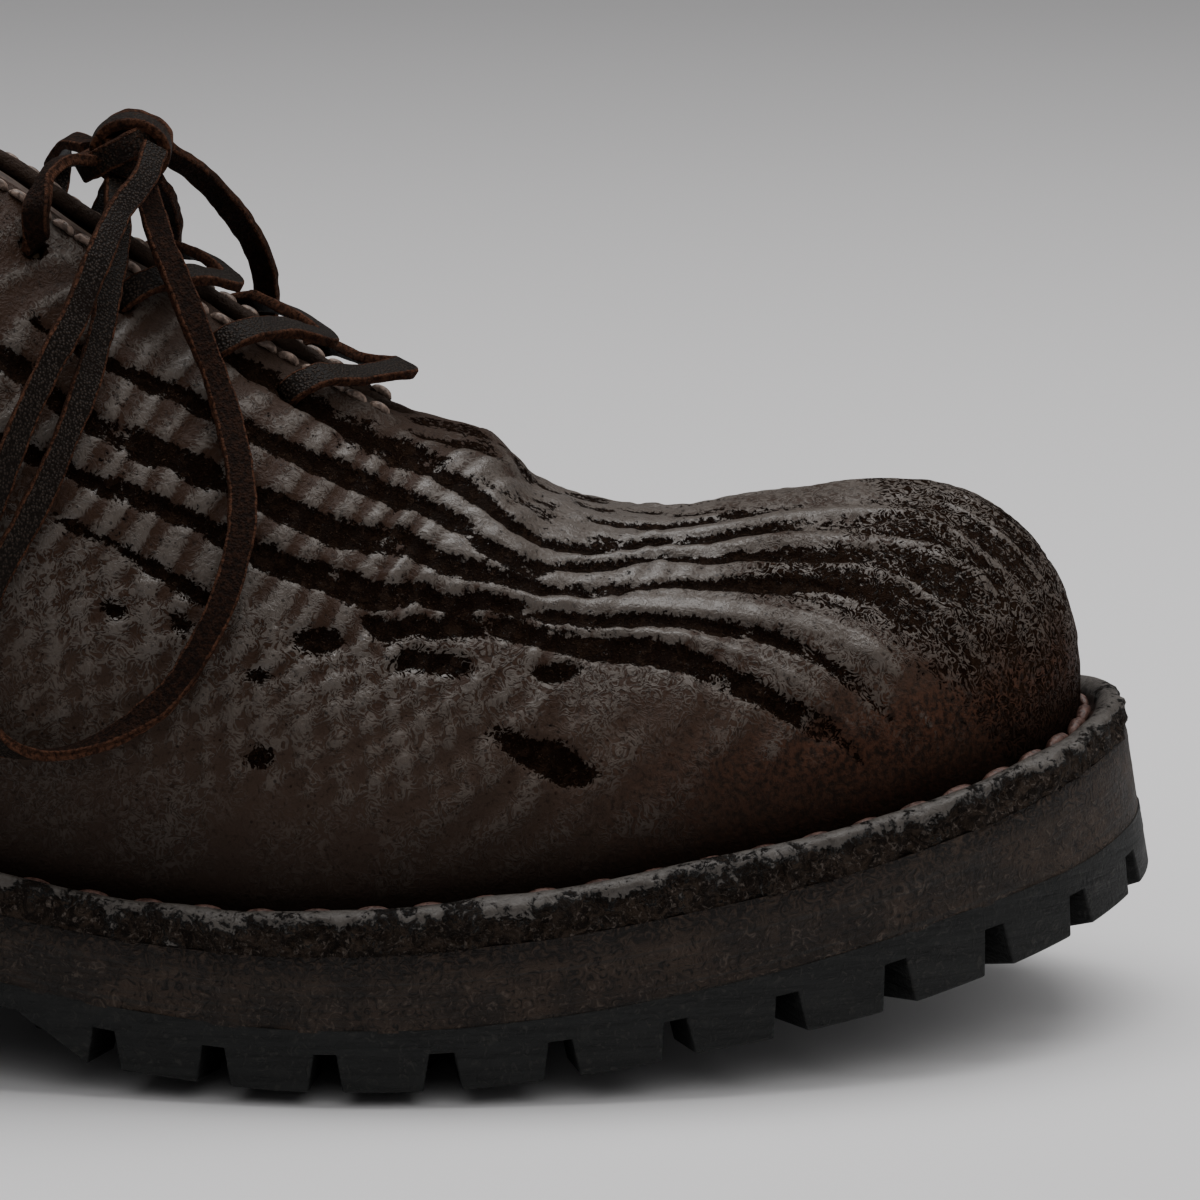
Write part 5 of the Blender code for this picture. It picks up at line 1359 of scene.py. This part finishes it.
def edge_lug(start, stop, rear_cut=0.0):
    """Rings of one lug at the edge: outside top and bottom, then inside bottom and top."""
    shares = np.linspace(0.0, 1.0, LUG_STEPS)
    top = start + (stop - start) * shares
    bottom = top + LUG_TAPER * (1.0 - 2.0 * shares)
    root = BASE_BOTTOM - LUG_SINK
    outside = forepart(bottom, LUG_FOOT_IN, LUG_BOTTOM)
    outside[:, 2] -= smooth(TOE_LUG_ROWS, 1, outside[:, 0])
    inside = forepart(bottom, LUG_DEEP - LUG_INNER_TAPER, LUG_BOTTOM)
    inside[:, 2] = np.minimum(inside[:, 2], tread_height(inside[:, 0]) + CROWN / 2.0)
    ragged = rear_cut * (1.0 - shares) + LUG_TEAR * lump("torn lug", outside) * (rear_cut > 0)
    outside[:, 2] += np.clip(ragged, 0.0, None)
    inside[:, 2] += np.clip(rear_cut * (1.0 - shares), 0.0, None)
    walls = [forepart(top, LUG_ROOT_IN, root), outside, inside, forepart(top, LUG_DEEP, root)]
    return np.stack(walls, axis=1)


def centre_lug(x, y, wide):
    """The two rings of a block in the middle of the tread."""
    rings = []
    for end in (-1.0, 1.0):
        top_x = x + end * CENTRE_LONG / 2.0
        low_x = top_x - end * LUG_TAPER
        top_z = float(layer_height(top_x, BASE_BOTTOM - LUG_SINK))
        low_z = 0.0 if FLAT_FROM_X < x < FLAT_TO_X else float(tread_height(low_x))
        rings.append(((top_x, y, top_z), (low_x, y + LUG_TAPER, low_z),
                      (low_x, y + wide - LUG_TAPER, low_z), (top_x, y + wide, top_z)))
    return np.array(rings)


print("forepart's edge:", round(FOREPART_LONG), "mm")

# %% Lugs
notches = np.append(np.arange(0.0, FOREPART_LONG - LUG_PITCH / 2.0, LUG_PITCH), FOREPART_LONG)
blocks = [edge_lug(a + LUG_NOTCH / 2.0, b - LUG_NOTCH / 2.0) for a, b in zip(notches[:-1], notches[1:])]
waist_cut = LUG_BOTTOM - BASE_BOTTOM - WAIST_LEFT
blocks.append(edge_lug(-WAIST_LUG, -LUG_NOTCH / 2.0, waist_cut))
blocks.append(edge_lug(FOREPART_LONG + WAIST_LUG, FOREPART_LONG + LUG_NOTCH / 2.0, waist_cut))
for x in np.arange(CENTRE_FIRST_X, CENTRE_LAST_X, LUG_PITCH):
    low, high = (
        np.interp(x, EDGE_LINES[side][:, 0], EDGE_LINES[side][:, 1]) - side * (LUG_DEEP + CENTRE_GAP)
        for side in SIDES
    )
    if high - low < CENTRE_GAP:
        continue
    count = max(1, round((high - low) / CENTRE_WIDE))
    wide = (high - low - CENTRE_GAP * (count - 1)) / count
    blocks += [centre_lug(x, low + k * (wide + CENTRE_GAP), wide) for k in range(count)]
lug_points, lug_faces, start = [], [], 0
for rings in blocks:
    rows = len(rings)
    quads = grid_faces(rows, 4, start=start, wrap=True).tolist()
    ends = [[start + k for k in range(4)], [start + (rows - 1) * 4 + k for k in range(4)]]
    lug_points.append(rings.reshape(-1, 3))
    lug_faces += quads + ends
    start += rows * 4
lugs = make_piece(
    "outsole_lugs", np.concatenate(lug_points), lug_faces, RUBBER, None, tidy=True,
)
soft = lugs.modifiers.new("soft edges", "BEVEL")
soft.width, soft.segments = LUG_BEVEL * MM, 2
soft.limit_method, soft.angle_limit = "ANGLE", math.radians(LUG_BEVEL_ANGLE)
crease_edges(lugs, 30.0)

# %% [markdown]
# ## Laces
# The laces are flat strips cut from a hide, about four millimetres wide: pebbled grain on one face, rusty
# suede on the other and on the cut edges. A strip is a rounded oblong carried along a smooth line, with a
# given way for its grain to face at each point of the line. The bars come up out of one row of eyelets,
# cross the tongue and go down into the other row.

# %% Lace leather
LACE_WIDE, LACE_THICK = 3.8, 1.6
LACE_AROUND, LACE_STEP, LACE_LEAST, LACE_SQUARE = 26, 0.8, 12, 7.0
LACE_WEAR, LACE_GRAIN_APART = 0.10, 5.0
RIM_SPAN, BACK_SPAN = (0.72, 0.92), (0.15, -0.15)
# PEBBLE_TOP_AND_HIGHLIGHT is the lighter grain on the pebble tops, partly a painted highlight.
GRAIN_DARK, PEBBLE_TOP_AND_HIGHLIGHT = (0.0050, 0.0032, 0.0022), (0.0290, 0.0200, 0.0148)
SUEDE_DARK, SUEDE_LIGHT = (0.0056, 0.0025, 0.0014), (0.0215, 0.0088, 0.0048)
RIM_DARK, RIM_LIGHT = (0.017, 0.0070, 0.0038), (0.068, 0.028, 0.0150)

thong = Finish("lace leather")
lace_place = thong.joined(thong.value("along"), thong.value("across"), thong.value("grain"))
pebble = thong.cells(2.5, place=lace_place)
lace_fuzz = thong.noise(1600.0, 4.0, 0.65)
lace_tone = thong.noise(130.0, 3.0)
frayed = thong.times(thong.sum(lace_fuzz, -0.5), 0.7)
rim_share = thong.between(thong.sum(thong.value("rim"), frayed), 0.40, 0.62)
back_share = thong.between(thong.sum(thong.value("back"), frayed), 0.40, 0.62)
# Pebble tops take the lighter colour. This is partly the grain's own tone and partly painted highlights on
# the tops.
grain_tone = thong.blend(thong.between(pebble, 0.10, 0.60), PEBBLE_TOP_AND_HIGHLIGHT, GRAIN_DARK)
suede_tone = thong.blend(thong.between(lace_fuzz, 0.40, 0.66), SUEDE_DARK, SUEDE_LIGHT)
rim_tone = thong.blend(thong.between(lace_fuzz, 0.36, 0.62), RIM_DARK, RIM_LIGHT)
lace_colour = thong.blend(rim_share, thong.blend(back_share, grain_tone, suede_tone), rim_tone)
lace_colour = thong.blend(thong.between(lace_tone, 0.56, 0.70, 0.0, 0.6), lace_colour, SUEDE_DARK)
rough_share = thong.most(rim_share, back_share)
lace_rough = thong.node("ShaderNodeMix", {0: rough_share, 2: 0.54, 3: 0.85})
lace_normal = thong.relief(thong.between(pebble, 0.0, 0.7), -0.16)
lace_normal = thong.relief(thong.times(lace_fuzz, rough_share), 0.40, lace_normal)
LACE = thong.done(lace_colour, lace_rough, lace_normal, Specular_IOR_Level=0.11)

# %% Strips


def oblong():
    """A closed profile with rounded corners: a superellipse of the seventh power, as across and up."""
    turn = np.linspace(0.0, 2.0 * math.pi, LACE_AROUND, endpoint=False)
    power = 2.0 / LACE_SQUARE
    across = np.sign(np.cos(turn)) * np.abs(np.cos(turn)) ** power * LACE_WIDE / 2.0
    up = np.sign(np.sin(turn)) * np.abs(np.sin(turn)) ** power * LACE_THICK / 2.0
    return np.stack([across, up], axis=-1)


def carried(line, ups, closed=False):
    """The oblong carried along a line with its grain facing ups, and the values that its finish reads."""
    if closed:
        ahead = unit(np.roll(line, -1, axis=0) - np.roll(line, 1, axis=0))
    else:
        ahead = unit(np.gradient(line, axis=0))
    across = unit(np.cross(ahead, ups))
    up = np.cross(across, ahead)
    profile = oblong()
    grid = line[:, None] + profile[None, :, :1] * across[:, None] + profile[None, :, 1:] * up[:, None]
    wear = LACE_WEAR * (lump("lace wear", grid) + lump("lace swell", grid))
    grid = grid + (grid - line[:, None]) * wear[..., None]
    edge = step(*RIM_SPAN, np.abs(profile[:, 0]) / (LACE_WIDE / 2.0))
    back = step(*BACK_SPAN, profile[:, 1])
    values = {
        "along": np.broadcast_to(lengths(line)[:, None], grid.shape[:2]),
        "across": np.broadcast_to(profile[None, :, 0], grid.shape[:2]),
        "grain": np.broadcast_to(np.sign(profile[None, :, 1]) * LACE_GRAIN_APART, grid.shape[:2]),
        "rim": np.broadcast_to(edge[None], grid.shape[:2]),
        "back": np.broadcast_to(back[None], grid.shape[:2]),
    }
    return grid, values


def strip(name, points, ups, node=None):
    """A strip of lace through points and its middle line; ups are the ways that its grain faces at them."""
    points, ups = np.asarray(points, float), unit(np.asarray(ups, float))
    knots = lengths(points)
    line = route(points, max(LACE_LEAST, int(knots[-1] / LACE_STEP)))
    at = np.linspace(0.0, knots[-1], len(line))
    turned = np.stack([np.interp(at, knots, ups[:, k]) for k in range(3)], axis=-1)
    grid, values = carried(line, turned)
    rows = len(line)
    ends = [list(range(LACE_AROUND)), [(rows - 1) * LACE_AROUND + k for k in range(LACE_AROUND)]]
    faces = grid_faces(rows, LACE_AROUND, wrap=True).tolist() + ends
    made = make_piece(name, grid.reshape(-1, 3), faces, LACE, node, values, tidy=True)
    crease_edges(made, 60.0)
    return made, line


print("a lace is", LACE_WIDE, "mm wide and", LACE_THICK, "mm thick")

# %% Bars and strands
BAR_PASS_S, BAR_PASS_LIFT, HOLE_DEEP, HOLE_RISE = 0.024, 2.9, 3.4, 1.9
BAR_ROWS = (
    # eyelet row, x, y and z of the bar's foremost point
    (0, 197.5, 1.0, 95.0), (1, 186.5, 0.0, 99.4), (2, 173.0, 0.0, 107.6),
)
TOP_ROWS = (
    # x, distance from the middle, z of a strand from a top eyelet to the knot
    (147.0, 19.0, 120.6), (147.8, 15.2, 124.0), (149.8, 10.8, 126.0), (153.2, 6.0, 125.8),
)
TOP_FACES = (
    # ways that the suede of a strand faces from its eyelet to the knot, as x, away from the middle, z
    (-0.4, 1.0, 0.4), (-0.8, 0.3, 0.6), (-0.4, 0.0, 1.0), (0.0, 0.0, 1.0),
)
BAR_FACES = np.array((0.53, 0.0, 0.85))
BAR_RISE, HOLE_NEAR, HOLE_BEND, HOLE_TILT = 0.99, 0.5, 1.8, 0.4


def from_hole(side, row, onward):
    """The first points of a lace that comes up out of an eyelet and bends toward a point, with its faces."""
    centre, out = eyelet(side, row)
    toward = unit(np.asarray(onward) - centre)
    bent = centre + out * HOLE_RISE + toward * HOLE_BEND
    points = [centre - out * HOLE_DEEP, centre + out * HOLE_NEAR, bent]
    return points, [-toward, -toward + HOLE_TILT * out, out]


for number, (row, *front) in enumerate(BAR_ROWS, 1):
    halves = []
    for side in SIDES:
        over = EYELET_S[row] + BAR_PASS_S
        crossing = section(side, over, 1.0) + section_normal(side, over, BAR_RISE) * BAR_PASS_LIFT
        points, ups = from_hole(side, row, crossing)
        halves.append((points + [crossing], ups + [BAR_FACES]))
    (near_points, near_ups), (far_points, far_ups) = halves
    bar_points, bar_ups = near_points + [front] + far_points[::-1], near_ups + [BAR_FACES] + far_ups[::-1]
    strip(f"lace_bar_{number}_leather", bar_points, bar_ups, f"lace_bar_{number}")
for word, side in (("lateral", LATERAL), ("medial", MEDIAL)):
    places = [(x, side * off, z) for x, off, z in TOP_ROWS]
    points, ups = from_hole(side, len(EYELET_S) - 1, places[0])
    facing = [(x, side * off, z) for x, off, z in TOP_FACES]
    suede_out = [-np.asarray(way) for way in ups[:2] + facing]
    strip(f"lace_top_{word}_leather", points[:2] + places, suede_out, f"lace_top_{word}")

# %% [markdown]
# ## The bow
# Two loops and two ends hang from a knot that is wrapped once round itself. The loops and ends are free
# cords. A loop turns over at its lowest point: one leg shows its grain and the other its suede.

# %% Loops and ends
BOW_ROWS = {
    # x, y, z along each cord, from the knot
    "lace_loop_lateral": (
        (157.6, -6.3, 122.5), (158.0, -14.0, 116.5), (157.3, -19.8, 110.9), (155.3, -26.8, 101.0),
        (151.6, -33.2, 90.7), (146.3, -38.0, 79.7), (142.6, -40.0, 72.9), (139.6, -41.4, 64.8),
        (138.9, -42.2, 57.0), (141.4, -42.6, 50.6), (148.0, -43.4, 48.4), (158.8, -44.2, 51.4),
        (165.2, -43.9, 56.0), (171.0, -41.7, 64.0), (174.2, -38.7, 71.0), (176.0, -33.4, 80.2),
        (175.4, -29.6, 86.0), (172.6, -23.6, 95.4), (168.0, -19.0, 107.0), (164.0, -14.4, 115.8),
        (161.4, -6.4, 121.6),
    ),
    "lace_loop_medial": (
        (163.5, 3.5, 125.7), (168.4, 8.4, 121.4), (172.4, 12.4, 116.2), (175.4, 16.4, 110.6),
        (177.0, 19.6, 104.6), (176.4, 24.0, 96.0), (174.4, 29.0, 86.0), (171.2, 33.4, 76.0),
        (165.8, 36.4, 66.0), (158.8, 36.8, 59.4), (150.4, 36.2, 57.6), (143.4, 35.6, 61.6),
        (140.4, 35.0, 70.0), (141.6, 34.2, 80.0), (144.4, 31.8, 92.0), (148.2, 27.6, 102.4),
        (152.0, 22.0, 111.0), (155.6, 14.0, 118.6), (157.8, 5.4, 123.4),
    ),
    "lace_end_lateral": (
        (162.8, -7.2, 127.6), (161.8, -11.6, 124.4), (158.8, -16.8, 120.6), (155.9, -23.4, 114.7),
        (153.2, -27.4, 108.0), (150.2, -30.8, 102.4),
        (144.9, -35.8, 90.8), (142.3, -37.6, 84.0), (137.6, -39.4, 74.4), (131.6, -40.4, 64.0),
        (125.0, -40.2, 55.0), (119.4, -39.2, 49.0),
    ),
    "lace_end_medial": (
        (161.6, 5.0, 121.8), (163.2, 12.6, 116.0), (162.6, 20.4, 107.6), (160.0, 26.4, 98.0),
        (156.0, 31.0, 88.0), (152.6, 34.6, 78.0), (150.2, 38.2, 67.0), (149.2, 40.9, 58.0),
        (148.4, 40.4, 49.0),
    ),
}
BOW_AHEAD, BOW_UP, BOW_TURN, BOW_TURN_SPAN = 0.35, 0.25, 0.78, (0.36, 0.62)


def bow_faces(count, side, turns_over):
    """Ways that the grain of a hanging cord faces: outward, and for a loop inward after its lowest point."""
    share = np.linspace(0.0, 1.0, count)
    outward = np.array((BOW_AHEAD, side, BOW_UP))
    if not turns_over:
        return np.repeat(outward[None], count, axis=0)
    angle = BOW_TURN * math.pi * step(*BOW_TURN_SPAN, share)
    return np.outer(np.cos(angle), outward) + np.outer(np.sin(angle), np.array((0.0, 0.0, -1.0)))


for name, rows in BOW_ROWS.items():
    side = LATERAL if name.endswith("lateral") else MEDIAL
    strip(f"{name}_leather", rows, bow_faces(len(rows), side, "loop" in name), name)

# %% Knot
KNOT_PLACE = np.array((158.6, -1.0, 126.6))
KNOT_WRAPS = (
    # first and second half axis of each turn of lace round the knot, and its shift from the middle
    ((5.2, 0.0, 2.6), (0.0, -6.2, 0.4), (-1.2, 0.2, -0.2)),
    ((5.0, 0.0, 0.0), (0.0, -0.6, 4.3), (0.6, -2.4, 0.2)),
    ((4.2, 1.2, -1.2), (0.6, 5.4, 2.2), (1.0, 0.6, 0.6)),
)
KNOT_CORE = np.array((3.9, 4.6, 3.8))
KNOT_RUST, KNOT_COUNT = 0.42, 64
CORE_AROUND, CORE_UP, CORE_REACH, CORE_LONG, CORE_WIDE = 33, 17, 1.57, 5.0, 3.0

knot_points, knot_faces, knot_values = [], [], []
knot_turn = np.linspace(0.0, 2.0 * math.pi, KNOT_COUNT, endpoint=False)
for first, second, shift in KNOT_WRAPS:
    round_it = np.outer(np.cos(knot_turn), first) + np.outer(np.sin(knot_turn), second)
    grid, values = carried(KNOT_PLACE + np.array(shift) + round_it, unit(round_it), closed=True)
    start = sum(len(part) for part in knot_points)
    knot_faces.append(grid_faces(KNOT_COUNT, LACE_AROUND, start=start, wrap=True, closed=True))
    knot_points.append(grid.reshape(-1, 3))
    values["rim"] = np.maximum(values["rim"], KNOT_RUST)
    knot_values.append(values)
core_turn, core_lift = np.meshgrid(
    np.linspace(0.0, 2.0 * math.pi, CORE_AROUND), np.linspace(-CORE_REACH, CORE_REACH, CORE_UP),
    indexing="ij",
)
core_wide, core_plain = np.cos(core_lift), np.zeros_like(core_turn)
core = np.stack([core_wide * np.cos(core_turn), core_wide * np.sin(core_turn), np.sin(core_lift)], axis=-1)
knot_faces.append(grid_faces(CORE_AROUND, CORE_UP, start=sum(len(part) for part in knot_points)))
knot_points.append((KNOT_PLACE + core * KNOT_CORE).reshape(-1, 3))
knot_values.append({
    "along": core_turn * CORE_LONG, "across": core_lift * CORE_WIDE, "grain": core_plain, "rim": core_plain,
    "back": core_plain + 1.0,
})
knot = make_piece(
    "lace_knot_leather", np.concatenate(knot_points), np.concatenate(knot_faces), LACE, "lace_knot",
    {key: np.concatenate([part[key].ravel() for part in knot_values]) for key in knot_values[0]},
    weld=0.005, tidy=True,
)

# %% [markdown]
# ## Stitches
# Waxed tan thread shows in three places: chunky stitches along the facings, a finer row under the collar,
# and the welt's lockstitch down in its channel. A stitch is a short bowed spindle, so all of a row can be
# worked out at once from arrays of places and directions.

# %% Waxed thread
THREAD_AROUND, THREAD_ALONG = 8, 9
THREAD_TIP, ARCH_HIGH, ARCH_FALL = 0.02, 0.15, 0.40
TAN_THREAD, TAN_SHADE = (0.21, 0.150, 0.118), (0.075, 0.050, 0.038)
ROSE_THREAD, ROSE_SHADE = (0.115, 0.060, 0.046), (0.045, 0.021, 0.016)


def thread_finish(name, light, shade):
    """Waxed thread whose twisted plies show as drawn-out noise."""
    thread = Finish(name)
    ply = thread.noise(1100.0, 3.0, place=thread.stretched(1.0, 1.4, 0.7))
    colour = thread.blend(thread.between(ply, 0.38, 0.60), shade, light)
    return thread.done(colour, thread.between(ply, 0.3, 0.7, 0.4, 0.6), thread.relief(ply, 0.3))


def stitch_row(name, places, alongs, outs, long, thick, material):
    """Spindles at places: a circle whose radius follows a fourth power, bowed up in the middle."""
    u = np.linspace(-1.0, 1.0, THREAD_ALONG)
    turn = np.linspace(0.0, 2.0 * math.pi, THREAD_AROUND, endpoint=False)
    radius = thick / 2.0 * np.sqrt(np.clip(1.0 - u**4, THREAD_TIP, 1.0))
    arch = thick * (ARCH_HIGH - ARCH_FALL * u**2)
    across = np.cross(outs, alongs)
    grid = (
        places[:, None, None]
        + alongs[:, None, None] * (u * long / 2.0)[None, :, None, None]
        + outs[:, None, None] * (arch[:, None] + radius[:, None] * np.sin(turn)[None])[None, ..., None]
        + across[:, None, None] * (radius[:, None] * np.cos(turn)[None])[None, ..., None]
    )
    each = THREAD_ALONG * THREAD_AROUND
    one = grid_faces(THREAD_ALONG, THREAD_AROUND, wrap=True)
    faces = (one[None] + np.arange(len(places))[:, None, None] * each).reshape(-1, 4).tolist()
    for k in range(len(places)):
        faces.append([k * each + j for j in range(THREAD_AROUND)])
        faces.append([(k + 1) * each - 1 - j for j in range(THREAD_AROUND)])
    return make_piece(name, grid.reshape(-1, 3), faces, material, None, tidy=True)


TAN = thread_finish("tan thread", TAN_THREAD, TAN_SHADE)
ROSE = thread_finish("rose thread", ROSE_THREAD, ROSE_SHADE)

# %% Rows of stitches
EDGE_STITCHES = {
    # from s, to s, distance back from the edge, spacing, length and thickness
    "facing_stitches": (FACING_TOP_S + 0.004, THROAT_S - 0.012, 1.9, 3.7, 3.6, 1.25),
    "collar_stitches": (0.004, FACING_TOP_S - 0.004, 3.2, 3.0, 2.3, 0.75),
}
EDGE_COUNT, THREAD_LIFT = 120, 0.25
WELT_FROM_S, WELT_TO_S, WELT_SPACING, WELT_STITCH_SIZE = 0.012, 0.992, 8.1, (6.4, 1.9)
CHANNEL_SHARE, CHANNEL_HIGH = 0.72, 4.15


def edge_row(name, from_s, to_s, back, spacing, long, thick):
    """Stitches that run along the cut edge of the upper, back from it by a distance."""
    places, alongs, outs = [], [], []
    for side in SIDES:
        s = np.linspace(from_s, to_s, EDGE_COUNT)
        rise = np.array([rise_back(side, value, back) for value in s])
        line, way = section(side, s, rise), section_normal(side, s, rise)
        even = np.arange(spacing / 2.0, lengths(line)[-1], spacing)
        at = np.interp(even, lengths(line), s)
        point = np.stack([np.interp(at, s, line[:, k]) for k in range(3)], axis=-1)
        out = unit(np.stack([np.interp(at, s, way[:, k]) for k in range(3)], axis=-1))
        ahead = unit(np.gradient(point, axis=0))
        places.append(point + out * THREAD_LIFT)
        alongs.append(unit(ahead - (ahead * out).sum(-1, keepdims=True) * out))
        outs.append(out)
    rows = [np.concatenate(parts) for parts in (places, alongs, outs)]
    return stitch_row(name, *rows, long, thick, TAN)


for name, sizes in EDGE_STITCHES.items():
    edge_row(name, *sizes)
welt_places, welt_alongs = [], []
for side in SIDES:
    s = np.arange(WELT_FROM_S, WELT_TO_S, WELT_SPACING / EDGE_LONG[side])
    place = sole_point(side, s, CHANNEL_SHARE * feather_inset(s), MIDSOLE_TOP - CHANNEL_HIGH)
    welt_places.append(place)
    welt_alongs.append(unit(np.gradient(place, axis=0)))
welt_places, welt_alongs = np.concatenate(welt_places), np.concatenate(welt_alongs)
upward = np.array((0.0, 0.0, 1.0)) - welt_alongs * welt_alongs[:, 2:]
stitch_row("welt_stitches", welt_places, welt_alongs, unit(upward), *WELT_STITCH_SIZE, ROSE)

# %% [markdown]
# ## Last measurements
# The boxes of the solids and of the dressed shoe are printed side by side before the frame is closed. The
# dressed shoe has to stay in the box of its solids.

# %% Sizes and finish
boxes = {"cad": CAD_BOX, "visual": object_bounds()}
for key, (low_corner, high_corner) in boxes.items():
    print(key, "box in mm:", [round((b - a) * 1000.0, 1) for a, b in zip(low_corner, high_corner)])
